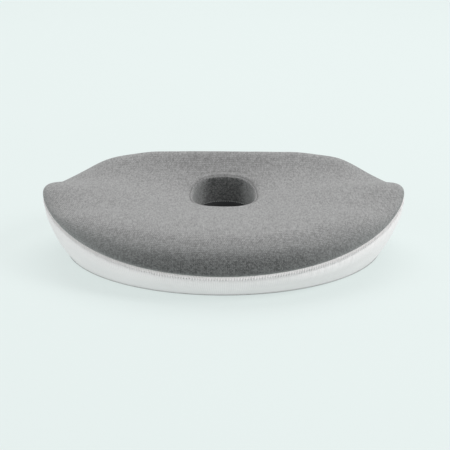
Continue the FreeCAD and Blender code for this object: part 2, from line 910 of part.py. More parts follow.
def add_crown(body, gap):
    """Arch over the upper plate that holds the puller's pin."""
    top = "%s + dims.slider_plate" % gap
    posts = []
    for side in (1, -1):
        outer = "dims.slider_x + %d * dims.crown_length / 2" % side
        inner = "dims.slider_x + %d * (dims.crown_length / 2 - dims.crown_bar)" % side
        posts.append(rectangle(outer, "-dims.crown_width / 2", inner, "dims.crown_width / 2"))
    add_pad(body, "crown_posts", posts, top + " - 0.1", "dims.crown_height + 0.1")
    bar = rectangle(
        "dims.slider_x - dims.crown_length / 2", "-dims.crown_width / 2",
        "dims.slider_x + dims.crown_length / 2", "dims.crown_width / 2")
    add_pad(body, "crown_bar", [bar], "%s + dims.crown_height - dims.crown_bar" % top,
            "dims.crown_bar")


def pin_height():
    """Height of the puller's pin axis over the tape plane."""
    base = dim("coil_thickness") / 2 + dim("slider_clear") + dim("slider_plate")
    return base + (dim("crown_height") - dim("crown_bar")) / 2


def add_pin(body, start, length):
    """Round pin across the puller's arms, on the hinge axis."""
    pin = body.newObject("PartDesign::AdditiveCylinder", "pin")
    pin.setExpression("Radius", "dims.puller_pin_radius")
    pin.setExpression("Height", length)
    pin.Placement.Rotation = FreeCAD.Rotation(FreeCAD.Vector(1, 0, 0), -90)
    pin.setExpression("Placement.Base.x", "dims.slider_x")
    pin.setExpression("Placement.Base.y", start)
    pin.setExpression("Placement.Base.z", "%.4f" % pin_height())
    doc.recompute()


def build_puller():
    """Puller: a round pin under the crown, two arms and a flat grip with a hole."""
    body = new_body("zip_puller")
    grip = "dims.slider_x + dims.puller_neck"
    end = grip + " + dims.puller_length"
    wide = "dims.puller_width / 2"
    inner = "(%s - dims.puller_arm)" % wide
    arm_end = "dims.slider_x - dims.puller_pin_radius"
    level = "%.4f - dims.puller_thickness / 2" % pin_height()
    outline = [
        (arm_end, "-" + wide),
        (end + " - 1.5", "-" + wide),
        (end, "-%s + 1.5" % wide),
        (end, wide + " - 1.5"),
        (end + " - 1.5", wide),
        (arm_end, wide),
        (arm_end, inner),
        (grip, inner),
        (grip, "-" + inner),
        (arm_end, "-" + inner),
    ]
    add_pad(body, "grip", [outline], level, "dims.puller_thickness")
    add_pin(body, "-%s - 0.3" % inner, "2 * %s + 0.6" % inner)
    sketch = sketch_in(body, "grip_hole_sketch", level + " + dims.puller_thickness")
    sketch.addGeometry(Part.Circle(FreeCAD.Vector(0, 0, 0), FreeCAD.Vector(0, 0, 1),
                                   dim("puller_hole_radius")))
    bind_point(sketch, 0, 3, end + " - 5", "0")
    index = sketch.addConstraint(Sketcher.Constraint("Radius", 0, dim("puller_hole_radius")))
    sketch.setExpression("Constraints[%d]" % index, "dims.puller_hole_radius")
    hole = body.newObject("PartDesign::Pocket", "grip_hole")
    hole.Profile = sketch
    hole.Type = "ThroughAll"
    body.Tip = hole
    doc.recompute()
    body.Placement = zip_placement()


# ---------------------------------------------------------------- assembly

def build_side_band():
    """White band with the back opened for the zip panel."""
    blank = doc.addObject("Part::Feature", "band_ring")
    blank.Shape = build_band_ring()
    opening = doc.addObject("Part::Box", "back_opening")
    opening.setExpression("Length", "2 * (dims.back_flat_half + dims.panel_gap)")
    opening.setExpression("Width", "dims.back_reach")
    opening.setExpression("Height", "dims.seam_back_height + dims.seam_tuck")
    opening.setExpression("Placement.Base.x", "-dims.back_flat_half - dims.panel_gap")
    opening.setExpression("Placement.Base.y", "dims.hole_centre_y + dims.hole_half_length")
    band = doc.addObject("Part::Cut", "side_band")
    band.Base = blank
    band.Tool = opening
    PARTS.append(band)


def build_base_panel():
    """Non-slip base panel with a shallow seat for every dot."""
    blank = plate("base_blank", build_base_face(), "base_thickness")
    dots = shape_part("grip_dots", build_dots())
    panel = doc.addObject("Part::Cut", "base_panel")
    panel.Base = blank
    panel.Tool = dots
    PARTS.append(panel)


def build_back_strips():
    """White strips above and below the zip."""
    gap = dim("panel_gap")
    share = 1 - dim("zip_height") / dim("seam_back_height")
    rise = (dim("tape_outer") + gap) * math.cos(math.atan(wall_lean(share)))
    top = dim("seam_back_height") - gap
    low = dim("base_thickness") + gap
    shape_part("back_strip_upper", build_back_strip(dim("zip_height") + rise, top))
    shape_part("back_strip_lower", build_back_strip(low, dim("zip_height") - rise))


shape_part("foam_core", build_foam())
shape_part("liner_top", build_liner_top())
shape_part("liner_sleeve", build_liner_sleeve())
PARTS.append(plate("liner_base", build_liner_base(), "liner_thickness"))
shape_part("top_panel", build_top_panel())
shape_part("hole_sleeve_upper", build_sleeve_upper())
shape_part("hole_sleeve_lower", build_sleeve_lower())
build_side_band()
build_back_strips()
build_base_panel()
shape_part("top_seam", build_top_seam())
shape_part("band_topstitch", build_topstitch())
shape_part("base_seam", build_base_seam())
shape_part("rim_seam", build_rim_seam())
shape_part("sleeve_seam", build_sleeve_seam())
build_tape("zip_tape_upper", 1)
build_tape("zip_tape_lower", -1)
build_coil("zip_coil_upper", 1)
build_coil("zip_coil_lower", -1)
build_bottom_stop()
build_top_stops()
build_end_tabs()
build_slider()
build_puller()
doc.recompute()

for part in doc.Objects:
    if "Invalid" in part.State or "Error" in part.State:
        raise RuntimeError("object %s did not rebuild" % part.Name)
for part in PARTS:
    if part.Shape.isNull() or not part.Shape.isValid():
        raise RuntimeError("part %s has no valid shape" % part.Label)
    part.Shape.exportStep("parts/%s.step" % part.Label)
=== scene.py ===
import json
import math

import bpy
import numpy as np
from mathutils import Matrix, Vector, noise
from mathutils.bvhtree import BVHTree
from mathutils.interpolate import poly_3d_calc
from mathutils.kdtree import KDTree


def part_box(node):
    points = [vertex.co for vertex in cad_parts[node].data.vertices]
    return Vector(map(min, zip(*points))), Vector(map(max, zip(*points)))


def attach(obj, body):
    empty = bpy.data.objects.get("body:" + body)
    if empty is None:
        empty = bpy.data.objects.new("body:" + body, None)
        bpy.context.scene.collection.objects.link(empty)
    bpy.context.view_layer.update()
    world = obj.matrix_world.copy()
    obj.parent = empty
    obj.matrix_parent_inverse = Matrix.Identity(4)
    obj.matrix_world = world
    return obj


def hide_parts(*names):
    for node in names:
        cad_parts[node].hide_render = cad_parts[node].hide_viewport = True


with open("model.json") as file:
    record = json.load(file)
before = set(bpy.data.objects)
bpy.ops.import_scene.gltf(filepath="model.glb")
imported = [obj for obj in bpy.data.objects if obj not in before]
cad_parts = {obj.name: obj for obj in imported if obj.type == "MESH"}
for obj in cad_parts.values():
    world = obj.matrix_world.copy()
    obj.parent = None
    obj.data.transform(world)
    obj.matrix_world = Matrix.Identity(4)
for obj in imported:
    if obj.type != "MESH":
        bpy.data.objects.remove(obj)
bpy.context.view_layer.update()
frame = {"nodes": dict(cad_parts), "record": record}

MM = 0.001
TURN = 2 * math.pi

# ------------------------------------------------------------- the CAD frame

HOLE = frame["record"]["physics"]["openings"][0]["box_m"]
HOLE_X = (HOLE[0][0] + HOLE[1][0]) / 2
HOLE_Y = (HOLE[0][1] + HOLE[1][1]) / 2


def mesh_points(mesh):
    """The corners of a mesh, one row each."""
    flat = np.empty(len(mesh.vertices) * 3)
    mesh.vertices.foreach_get("co", flat)
    return flat.reshape(-1, 3)


def node_points(name):
    return mesh_points(frame["nodes"][name].data)


def node_tree(*names):
    """One search tree over the surfaces of some CAD nodes."""
    points, faces = [], []
    for name in names:
        mesh = frame["nodes"][name].data
        base = len(points)
        points.extend(v.co.copy() for v in mesh.vertices)
        faces.extend([base + i for i in p.vertices] for p in mesh.polygons)
    return BVHTree.FromPolygons(points, faces)


def hit(tree, start, direction):
    """Where a ray meets a tree's surface, or None."""
    found = tree.ray_cast(Vector(start), Vector(direction))
    return None if found[0] is None else np.array(found[0])


def edge_points(name, step=0.8 * MM):
    """Points close together along every edge of a node."""
    points = node_points(name)
    spots = []
    for edge in frame["nodes"][name].data.edges:
        start, end = points[edge.vertices[0]], points[edge.vertices[1]]
        count = int(np.linalg.norm(end - start) / step) + 2
        spots.append(start + (end - start) * np.linspace(0, 1, count)[:, None])
    return np.vstack(spots)


def polar(points):
    """Angle and distance of points from the middle of the hole, seen from above."""
    x, y = points[:, 0] - HOLE_X, points[:, 1] - HOLE_Y
    return np.arctan2(y, x), np.hypot(y, x)


def from_polar(angle, radius, z):
    """Points at given angles and distances from the middle of the hole."""
    return np.stack([HOLE_X + radius * np.cos(angle), HOLE_Y + radius * np.sin(angle), z], 1)


def ring_of(name, count):
    """The middle line of a ring-shaped node, as points at even angles round the hole."""
    points = edge_points(name)
    angle, radius = polar(points)
    bins = ((angle + math.pi) / TURN * count).astype(int) % count
    total = np.bincount(bins, minlength=count)
    mean_r = np.bincount(bins, radius, count) / np.maximum(total, 1)
    mean_z = np.bincount(bins, points[:, 2], count) / np.maximum(total, 1)
    mid = -math.pi + (np.arange(count) + 0.5) * TURN / count
    known = total > 0
    mean_r = np.interp(mid, mid[known], mean_r[known], period=TURN)
    mean_z = np.interp(mid, mid[known], mean_z[known], period=TURN)
    return from_polar(mid, mean_r, mean_z)


def smooth_ring(points, passes):
    """Evens out a closed ring of points."""
    for _ in range(passes):
        points = (np.roll(points, 1, 0) + 2 * points + np.roll(points, -1, 0)) / 4
    return points


def respaced(line, shares):
    """Points at given shares of the length of an open line."""
    steps = np.linalg.norm(np.diff(line, axis=0), axis=1)
    marks = np.concatenate([[0.0], np.cumsum(steps)])
    return np.stack([np.interp(np.asarray(shares) * marks[-1], marks, line[:, k])
                     for k in range(3)], 1)


# ------------------------------------------------------- columns round the seam

FLAT_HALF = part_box("back_strip_upper")[1][0] + 0.2 * MM
COLUMN_STEP = 1.8 * MM
SEAM_OUT = 0.8 * MM
SEAM_SAMPLES = 20000


def closed_marks(ring):
    """Distance along a closed ring at each of its points, and its whole length."""
    steps = np.linalg.norm(np.diff(np.vstack([ring, ring[:1]]), axis=0), axis=1)
    return np.concatenate([[0.0], np.cumsum(steps)])


def at_marks(ring, marks, targets):
    """Points of a closed ring at given distances along it."""
    loop = np.vstack([ring, ring[:1]])
    wrapped = np.mod(targets, marks[-1])
    return np.stack([np.interp(wrapped, marks, loop[:, k]) for k in range(3)], 1)


def seam_columns():
    """Points round the main seam, with one column at each end of the back panel."""
    ring = smooth_ring(ring_of("top_seam", 720), 6)
    marks = closed_marks(ring)
    fine = at_marks(ring, marks, np.linspace(0, marks[-1], SEAM_SAMPLES + 1)[:-1])
    back = fine[:, 1] > HOLE_Y
    right = np.argmin(np.abs(fine[:, 0] - FLAT_HALF) + ~back)
    left = np.argmin(np.abs(fine[:, 0] + FLAT_HALF) + ~back)
    start = right / SEAM_SAMPLES * marks[-1]
    end = left / SEAM_SAMPLES * marks[-1]
    back_len = (end - start) % marks[-1]
    rest_len = marks[-1] - back_len
    back_count = round(back_len / COLUMN_STEP)
    rest_count = round(rest_len / COLUMN_STEP)
    first = start + np.arange(back_count) / back_count * back_len
    second = end + np.arange(rest_count) / rest_count * rest_len
    return at_marks(ring, marks, np.concatenate([first, second])), back_count


SEAM, BACK_COUNT = seam_columns()
COLUMNS = len(SEAM)


def plan_normals(ring):
    """Outward directions in plan along a closed ring that runs anticlockwise."""
    way = np.roll(ring, -3, 0) - np.roll(ring, 3, 0)
    out = np.stack([way[:, 1], -way[:, 0], np.zeros(len(ring))], 1)
    return out / np.linalg.norm(out, axis=1)[:, None]


OUT = plan_normals(SEAM)
CREASE = SEAM - OUT * SEAM_OUT
ARC = closed_marks(SEAM)[:-1]


def ring_towards(name):
    """The points of a ring node that lie in the direction of each column."""
    ring = smooth_ring(ring_of(name, 360), 4)
    ring_angle, radius = polar(ring)
    angle, _ = polar(SEAM)
    r = np.interp(angle, ring_angle, radius, period=TURN)
    z = np.interp(angle, ring_angle, ring[:, 2], period=TURN)
    return from_polar(angle, r, z)


# at the back of the hole the rim lies higher and the light seam lower than in the CAD
HIGHER_RIM = 3.6 * MM
LOWER_SEAM = 1.6 * MM
RIM = ring_towards("rim_seam")
SLEEVE = ring_towards("sleeve_seam")
BACK_SHARE = np.clip((RIM[:, 1] - HOLE_Y) / np.ptp(RIM[:, 1]) * 2, 0, 1)
SLEEVE[:, 2] -= LOWER_SEAM * BACK_SHARE
RIM_LIFT = HIGHER_RIM * (1 - np.cos(math.pi * BACK_SHARE)) / 2


# ------------------------------------------------------------- surface grids

def row_shares(count, ends=0.5):
    """Shares from 0 to 1, closer together at both ends."""
    t = np.linspace(0, 1, count)
    return (1 - ends) * t + ends * 0.5 * (1 - np.cos(math.pi * t))


def top_line(tree, rim, crease, rays=150, reach=0.3):
    """The outer line of the knit top in the upright plane through one column."""
    span = crease[:2] - rim[:2]
    width = np.hypot(*span)
    out = np.array([span[0] / width, span[1] / width, 0.0])
    low = max(min(rim[2], crease[2]) - 15 * MM, 12 * MM)
    centre = np.array([*(rim[:2] + span / 2), low])
    first = math.atan2(rim[2] - low, -width / 2)
    last = math.atan2(crease[2] - low, width / 2)
    line = [rim]
    for phi in np.linspace(first, last, rays)[1:-1]:
        way = out * math.cos(phi) + np.array([0.0, 0.0, math.sin(phi)])
        spot = hit(tree, centre + way * reach, -way)
        if spot is not None:
            line.append(spot)
    line.append(crease)
    return np.array(line)


def top_grid(rows):
    """Rows from the rim seam to the main seam over the knit top."""
    tree = node_tree("top_panel")
    shares = row_shares(rows)
    lines = []
    for rim, crease in zip(on_rim(tree), CREASE):
        lines.append(respaced(top_line(tree, rim, crease), shares))
    return np.array(lines).transpose(1, 0, 2)


def on_rim(tree):
    """The rim seam's points dropped onto the knit."""
    spots = []
    for point in RIM:
        found = tree.find_nearest(Vector(point))
        spots.append(np.array(found[0]))
    return np.array(spots)


def wall_grid(rows, reach=0.05, depth=0.04):
    """Rows from the main seam down to the base edge over the white wall.
    A ray starts at reach outside the seam and may land up to depth inside it."""
    tree = node_tree("side_band", "back_strip_upper", "back_strip_lower")
    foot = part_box("side_band")[0][2]
    shares = row_shares(rows, 0.35)
    lines = []
    for crease, out in zip(CREASE, OUT):
        levels = np.linspace(crease[2] - 0.6 * MM, foot + 0.1 * MM, 70)
        line = [crease]
        for z in levels:
            start = np.array([crease[0], crease[1], z]) + out * reach
            spot = hit(tree, start, -out)
            inset = None if spot is None else (spot - start) @ -out
            if inset is not None and inset < reach + depth:
                line.append(spot)
        lines.append(respaced(np.array(line), shares))
    return np.array(lines).transpose(1, 0, 2)


def sleeve_grid(low, high, rows):
    """Rows up the hole wall between two rings."""
    tree = node_tree("hole_sleeve_upper", "hole_sleeve_lower")
    shares = np.linspace(0, 1, rows)
    lines = []
    for bottom, top in zip(low, high):
        way = np.array([bottom[0] - HOLE_X, bottom[1] - HOLE_Y, 0.0])
        way /= np.linalg.norm(way)
        line = []
        for share in shares:
            z = bottom[2] + (top[2] - bottom[2]) * share
            spot = hit(tree, (HOLE_X, HOLE_Y, z), way)
            line.append(bottom + (top - bottom) * share if spot is None else spot)
        lines.append(line)
    return np.array(lines).transpose(1, 0, 2)


def grid_normals(grid, closed=True):
    """Outward normals of a grid whose rows run outwards and down."""
    if closed:
        around = np.roll(grid, -1, 1) - np.roll(grid, 1, 1)
    else:
        around = np.gradient(grid, axis=1)
    down = np.gradient(grid, axis=0)
    normal = np.cross(down, around)
    return normal / np.maximum(np.linalg.norm(normal, axis=2), 1e-12)[:, :, None]


# ------------------------------------------------------------- meshes

def mesh_object(name, points, faces):
    """A smooth-shaded object in the scene."""
    mesh = bpy.data.meshes.new(name)
    mesh.from_pydata([tuple(p) for p in points], [], faces)
    mesh.validate()
    mesh.update()
    piece = bpy.data.objects.new(name, mesh)
    bpy.context.scene.collection.objects.link(piece)
    for polygon in mesh.polygons:
        polygon.use_smooth = True
    return piece


def quads(rows, columns, closed, base=0, flip=False):
    """Faces of a grid whose points are stored row by row."""
    faces = []
    for i in range(rows - 1):
        for j in range(columns if closed else columns - 1):
            k = (j + 1) % columns
            face = [base + i * columns + j, base + (i + 1) * columns + j,
                    base + (i + 1) * columns + k, base + i * columns + k]
            faces.append(face[::-1] if flip else face)
    return faces


def joining_faces(rows, columns):
    """Faces between the last row of a closed grid and its first."""
    last = (rows - 1) * columns
    return [[last + j, j, (j + 1) % columns, last + (j + 1) % columns] for j in range(columns)]


def cloth_object(name, grid, thickness, closed=True):
    """Closed sheet of cloth whose outer face is the grid."""
    rows, columns = grid.shape[:2]
    inner = grid - grid_normals(grid, closed) * thickness
    points = np.vstack([grid.reshape(-1, 3), inner.reshape(-1, 3)])
    base = rows * columns
    faces = quads(rows, columns, closed)
    faces += quads(rows, columns, closed, base, flip=True)
    last = (rows - 1) * columns
    for j in range(columns if closed else columns - 1):
        k = (j + 1) % columns
        faces.append([j, k, base + k, base + j])
        faces.append([last + k, last + j, base + last + j, base + last + k])
    if not closed:
        for i in range(rows - 1):
            a, b = i * columns, (i + 1) * columns
            faces.append([b, a, base + a, base + b])
            a, b = a + columns - 1, b + columns - 1
            faces.append([a, b, base + b, base + a])
    return mesh_object(name, points, faces)


# ------------------------------------------------------------- padding

def pad_surface(top, wall, sleeve_low, sleeve_high):
    """Closed skin of the whole cushion, for the padding simulation."""
    rows = [sleeve_low[0], *sleeve_low[1:-1:3], *sleeve_high[::3], *top[2:-1:2],
            *wall[0:-1:2], wall[-1]]
    grid = np.array(rows)[:, ::3]
    count, columns = grid.shape[:2]
    faces = quads(count, columns, True) + joining_faces(count, columns)
    return mesh_object("padding_start", grid.reshape(-1, 3), faces)


def line_index(lines):
    """A search tree over the points of some lines."""
    marks = np.vstack(lines)
    index = KDTree(len(marks))
    for i, mark in enumerate(marks):
        index.insert(Vector(mark), i)
    index.balance()
    return index


def gaps_to(points, lines):
    """Distance from each point to the nearest point of some lines."""
    index = line_index(lines)
    return np.array([index.find(Vector(p))[2] for p in points])


def held_weights(points, seams):
    """How firmly each padding point is held: fully at the seams, the base and the hole."""
    held = np.clip(1.25 - gaps_to(points, seams) / (8 * MM), 0, 1)
    _, radius = polar(points)
    by_hole = (radius < 52 * MM) & (np.abs(points[:, 0]) < 41 * MM)
    held[by_hole & (points[:, 2] < RIM[:, 2].min())] = 1
    held[points[:, 2] < 2 * MM] = 1
    return held


def blown_up(start, frames=20):
    """The points of the padding after Blender's cloth has blown it up."""
    scene = bpy.context.scene
    cloth = start.modifiers.new("padding", "CLOTH")
    cloth.settings.quality = 5
    cloth.settings.mass = 0.3
    cloth.settings.tension_stiffness = 12
    cloth.settings.compression_stiffness = 12
    cloth.settings.bending_stiffness = 0.6
    cloth.settings.use_pressure = True
    cloth.settings.uniform_pressure_force = 4
    cloth.settings.vertex_group_mass = "held"
    cloth.settings.effector_weights.gravity = 0
    cloth.point_cache.frame_start = 1
    cloth.point_cache.frame_end = frames
    for number in range(1, frames + 1):
        scene.frame_set(number)
    graph = bpy.context.evaluated_depsgraph_get()
    after = mesh_points(start.evaluated_get(graph).data)
    scene.frame_set(1)
    return after


def swell(start, seams, voxel=5 * MM, cap=4 * MM):
    """Blows the padding up between its seams, and moves no point further than the cap.
    Gives the start's points, faces and search tree, and how far each point moved."""
    bpy.context.view_layer.objects.active = start
    start.select_set(True)
    start.data.remesh_voxel_size = voxel
    bpy.ops.object.voxel_remesh()
    before = mesh_points(start.data)
    group = start.vertex_groups.new(name="held")
    for i, weight in enumerate(held_weights(before, seams)):
        group.add([i], float(weight), "REPLACE")
    faces = [list(p.vertices) for p in start.data.polygons]
    move = blown_up(start) - before
    bpy.data.objects.remove(start)
    size = np.linalg.norm(move, axis=1)
    move *= (cap * np.tanh(size / cap) / np.maximum(size, 1e-9))[:, None]
    tree = BVHTree.FromPolygons([Vector(p) for p in before], faces)
    return before, faces, tree, move


def evened(field, passes=50):
    """A field over a ring grid with its small creases smoothed away."""
    for _ in range(passes):
        field = (np.roll(field, 1, 1) + 2 * field + np.roll(field, -1, 1)) / 4
        padded = np.concatenate([field[:1], field, field[-1:]])
        field = (padded[:-2] + 2 * padded[1:-1] + padded[2:]) / 4
    return field


def row_gaps(grid):
    """Distance of each row from the first and from the last row, along the cloth."""
    steps = np.linalg.norm(np.diff(grid, axis=0), axis=2)
    first = np.concatenate([np.zeros((1, grid.shape[1])), np.cumsum(steps, axis=0)])
    return first, first[-1] - first


def swollen(grid, padding, share=0.6, fade=9 * MM, drawn=0.8):
    """A grid carried along by a share of the padding's movement, which fades out at both
    ends, then drawn back by most of each row's usual swell."""
    before, faces, tree, move = padding
    shift = np.zeros(grid.shape).reshape(-1, 3)
    for i, point in enumerate(grid.reshape(-1, 3)):
        spot, _, face, _ = tree.find_nearest(Vector(point))
        corners = [Vector(before[v]) for v in faces[face]]
        weights = poly_3d_calc(corners, spot)
        shift[i] = sum(move[v] * w for v, w in zip(faces[face], weights))
    shift = evened(shift.reshape(grid.shape))
    first, last = row_gaps(grid)
    shift *= share * (np.clip(first / fade, 0, 1) * np.clip(last / fade, 0, 1))[:, :, None]
    normal = grid_normals(grid)
    usual = (shift * normal).sum(axis=2).mean(axis=1)
    return grid + shift - normal * (usual * drawn)[:, None, None]


# ------------------------------------------------------------- small relief

STITCH_DROP = 5 * MM


def waves(points, size, seed):
    """Smooth random numbers about zero at each point, with waves of a given size."""
    shift = Vector((seed * 3.1, seed * 1.7, seed * 0.9))
    return np.array([noise.noise(Vector(p) / size + shift) for p in points.reshape(-1, 3)]
                    ).reshape(points.shape[:-1])


def ring_waves(size, seed):
    """Smooth random numbers round the seam that close up on themselves."""
    turns = ARC / ARC[-1] * TURN
    reach = ARC[-1] / TURN / size
    return np.array([noise.noise(Vector((math.cos(a) * reach, math.sin(a) * reach, seed)))
                     for a in turns])


def bell(gap, middle, width):
    """One at the middle, falling smoothly to nothing over about two widths."""
    return np.exp(-((gap - middle) / width) ** 2)


def lifted_rim(top):
    """The knit top with its rim drawn up a little at the back of the hole."""
    rim_gap, _ = row_gaps(top)
    top = top.copy()
    top[:, :, 2] += RIM_LIFT * bell(rim_gap, 0, 38 * MM)
    return top


def relief_top(top):
    """Soft hollows, gathers along the main seam and tension lines at the rim."""
    rim_gap, seam_gap = row_gaps(top)
    calm = np.clip(rim_gap / (18 * MM), 0, 1) * np.clip(seam_gap / (14 * MM), 0, 1)
    lift = waves(top, 0.085, 1) * 1.1 * MM + waves(top, 0.032, 2) * 0.35 * MM
    lift = lift * calm
    gathers = ring_waves(7 * MM, 3.0) * 0.35 * MM
    lift += gathers * np.exp(-seam_gap / (5 * MM)) * np.clip(seam_gap / (1.5 * MM), 0, 1)
    pulls = ring_waves(26 * MM, 5.0) * 0.25 * MM
    lift += pulls * bell(rim_gap, 9 * MM, 8 * MM)
    return top + grid_normals(top) * lift[:, :, None]


def relief_wall(wall):
    """The fold at the row of stitches, and gathers fading out down the wall."""
    seam_gap, foot_gap = row_gaps(wall)
    fold = -1.1 * MM * bell(seam_gap, STITCH_DROP, 1.8 * MM)
    welt = 0.8 * MM * bell(seam_gap, STITCH_DROP * 0.45, 1.6 * MM)
    belly = 1.2 * MM * bell(seam_gap, 15 * MM, 8 * MM)
    gathers = ring_waves(4.5 * MM, 8.0) * 1.3 * MM
    fade = np.exp(-np.abs(seam_gap - STITCH_DROP - 2 * MM) / (5 * MM))
    slack = waves(wall, 0.06, 4) * 0.9 * MM
    calm = np.clip(seam_gap / (10 * MM), 0, 1) * np.clip(foot_gap / (8 * MM), 0, 1)
    lift = (fold + welt + belly * np.clip(foot_gap / (12 * MM), 0, 1)
            + gathers * fade + slack * calm)
    lift *= np.clip(foot_gap / (3 * MM), 0, 1)
    return wall + grid_normals(wall) * lift[:, :, None]


# ------------------------------------------------------------- stitches and cords

def tube(name, path, radius, sides=8):
    """Round cord with closed ends along a path."""
    count = len(path)
    way = np.gradient(path, axis=0)
    way /= np.linalg.norm(way, axis=1)[:, None]
    side = np.cross(way, [0.0, 0.0, 1.0])
    side /= np.maximum(np.linalg.norm(side, axis=1), 1e-9)[:, None]
    rise = np.cross(side, way)
    points = []
    for k in range(sides):
        a = TURN * k / sides
        points.append(path + (side * math.cos(a) + rise * math.sin(a)) * radius)
    faces = []
    for i in range(sides):
        m = (i + 1) % sides
        for j in range(count - 1):
            faces.append([i * count + j, i * count + j + 1, m * count + j + 1, m * count + j])
    faces.append([i * count for i in range(sides)][::-1])
    faces.append([i * count + count - 1 for i in range(sides)])
    return mesh_object(name, np.vstack(points), faces)


def add_stitch(points, faces, body, out, radius, sink):
    """Adds one tapered round stitch along a short path, each end dipping into the cloth."""
    knots, sides = len(body), 6
    arch = np.sin(np.linspace(0, math.pi, knots))
    out = out / np.linalg.norm(out, axis=1)[:, None]
    body = body + out * (arch * radius * (1 + sink) - radius * sink)[:, None]
    way = np.gradient(body, axis=0)
    way /= np.linalg.norm(way, axis=1)[:, None]
    side = np.cross(way, out)
    side /= np.linalg.norm(side, axis=1)[:, None]
    rise = np.cross(side, way)
    thick = radius * (0.55 + 0.45 * arch)
    base = len(points)
    for i in range(knots):
        for k in range(sides):
            a = TURN * k / sides
            points.append(body[i] + (side[i] * math.cos(a) + rise[i] * math.sin(a)) * thick[i])
    faces += quads(knots, sides, True, base, flip=True)
    faces.append([base + k for k in range(sides)][::-1])
    faces.append([base + (knots - 1) * sides + k for k in range(sides)])


def stitch_row(name, line, outward, pitch, share, radius, sink=0.6):
    """A row of separate stitches lying on a closed line."""
    marks = closed_marks(line)
    count = round(marks[-1] / pitch)
    points, faces = [], []
    for n in range(count):
        centre = (n + 0.5) / count * marks[-1]
        spots = centre + np.linspace(-0.5, 0.5, 6) * pitch * share
        body = at_marks(line, marks, spots)
        add_stitch(points, faces, body, at_marks(outward, marks, spots), radius, sink)
    return mesh_object(name, points, faces)


def row_at(grid, gap):
    """The ring that lies a given distance along the cloth from the first row."""
    first, _ = row_gaps(grid)
    line = [[np.interp(gap, first[:, j], grid[:, j, k]) for k in range(3)]
            for j in range(grid.shape[1])]
    return np.array(line)


def normals_at(grid, gap):
    """The outward normals along the ring that row_at gives."""
    first, _ = row_gaps(grid)
    normal = grid_normals(grid)
    return np.array([[np.interp(gap, first[:, j], normal[:, j, k]) for k in range(3)]
                     for j in range(grid.shape[1])])


def gather_row(name, grid, pitch, first, last, radius, sink=0.35):
    """Small ridges of gathered cloth that run down from the seam."""
    gaps = np.linspace(first, last, 6)
    lines = [row_at(grid, gap) for gap in gaps]
    outward = [normals_at(grid, gap) for gap in gaps]
    marks = closed_marks(lines[0])
    count = round(marks[-1] / pitch)
    points, faces = [], []
    for n in range(count):
        spot = np.array([(n + 0.5) / count * marks[-1]])
        body = np.vstack([at_marks(line, marks, spot) for line in lines])
        out = np.vstack([at_marks(line, marks, spot) for line in outward])
        add_stitch(points, faces, body, out, radius, sink)
    return mesh_object(name, points, faces)


# ------------------------------------------------------------- materials

class Graph:
    """Short calls that add nodes to one material."""

    def __init__(self, name, roughness, metallic=0.0):
        """Starts a material whose texture coordinates are the object's own, in metres."""
        self.material = bpy.data.materials.new(name)
        self.material.use_nodes = True
        self.tree = self.material.node_tree
        self.shader = self.tree.nodes["Principled BSDF"]
        self.shader.inputs["Roughness"].default_value = roughness
        self.shader.inputs["Metallic"].default_value = metallic
        coords = self.tree.nodes.new("ShaderNodeTexCoord")
        self.place = coords.outputs["Object"]
        self.normal = coords.outputs["Normal"]

    def link(self, value, socket):
        """Links an output to a socket, or sets the socket to a fixed value."""
        if isinstance(value, (int, float, tuple)):
            socket.default_value = value
        else:
            self.tree.links.new(value, socket)

    def math(self, kind, a, b=0.0, c=0.0):
        node = self.tree.nodes.new("ShaderNodeMath")
        node.operation = kind
        for value, socket in zip((a, b, c), node.inputs):
            self.link(value, socket)
        return node.outputs[0]

    def split(self, vector):
        node = self.tree.nodes.new("ShaderNodeSeparateXYZ")
        self.link(vector, node.inputs[0])
        return node.outputs

    def join(self, x, y, z):
        node = self.tree.nodes.new("ShaderNodeCombineXYZ")
        for value, socket in zip((x, y, z), node.inputs):
            self.link(value, socket)
        return node.outputs[0]

    def ease(self, value, low, high, start=0.0, stop=1.0):
        """Goes smoothly from start to stop as the value goes from low to high."""
        node = self.tree.nodes.new("ShaderNodeMapRange")
        node.interpolation_type = "SMOOTHSTEP"
        for v, socket in zip((value, low, high, start, stop), node.inputs):
            self.link(v, socket)
        return node.outputs[0]

    def noise(self, scale, detail=3.0, vector=None):
        node = self.tree.nodes.new("ShaderNodeTexNoise")
        self.link(self.place if vector is None else vector, node.inputs["Vector"])
        node.inputs["Scale"].default_value = scale
        node.inputs["Detail"].default_value = detail
        return node.outputs[0]

    def speckle(self, vector):
        """A different random number for each whole-numbered place."""
        node = self.tree.nodes.new("ShaderNodeTexWhiteNoise")
        node.noise_dimensions = "3D"
        self.link(vector, node.inputs["Vector"])
        return node.outputs[0]

    def shades(self, factor, *stops):
        """A colour ramp through (place, colour) stops."""
        node = self.tree.nodes.new("ShaderNodeValToRGB")
        ramp = node.color_ramp
        while len(ramp.elements) < len(stops):
            ramp.elements.new(0.5)
        for element, (place, colour) in zip(ramp.elements, stops):
            element.position = place
            element.color = (*colour, 1.0)
        self.link(factor, node.inputs[0])
        return node.outputs[0]

    def bump(self, height, strength, distance):
        node = self.tree.nodes.new("ShaderNodeBump")
        node.inputs["Strength"].default_value = strength
        node.inputs["Distance"].default_value = distance
        self.link(height, node.inputs["Height"])
        self.tree.links.new(node.outputs[0], self.shader.inputs["Normal"])

    def colour(self, value):
        self.link(value, self.shader.inputs["Base Color"])

    def sheen(self, weight, roughness, tint):
        self.shader.inputs["Sheen Weight"].default_value = weight
        self.shader.inputs["Sheen Roughness"].default_value = roughness
        self.shader.inputs["Sheen Tint"].default_value = (*tint, 1.0)


def ring_arc(g, x, y, radius):
    """Millimetres round the hole at a given radius."""
    turn = g.math("ARCTAN2", g.math("SUBTRACT", y, HOLE_Y), x)
    return g.math("MULTIPLY", turn, radius * 1000)


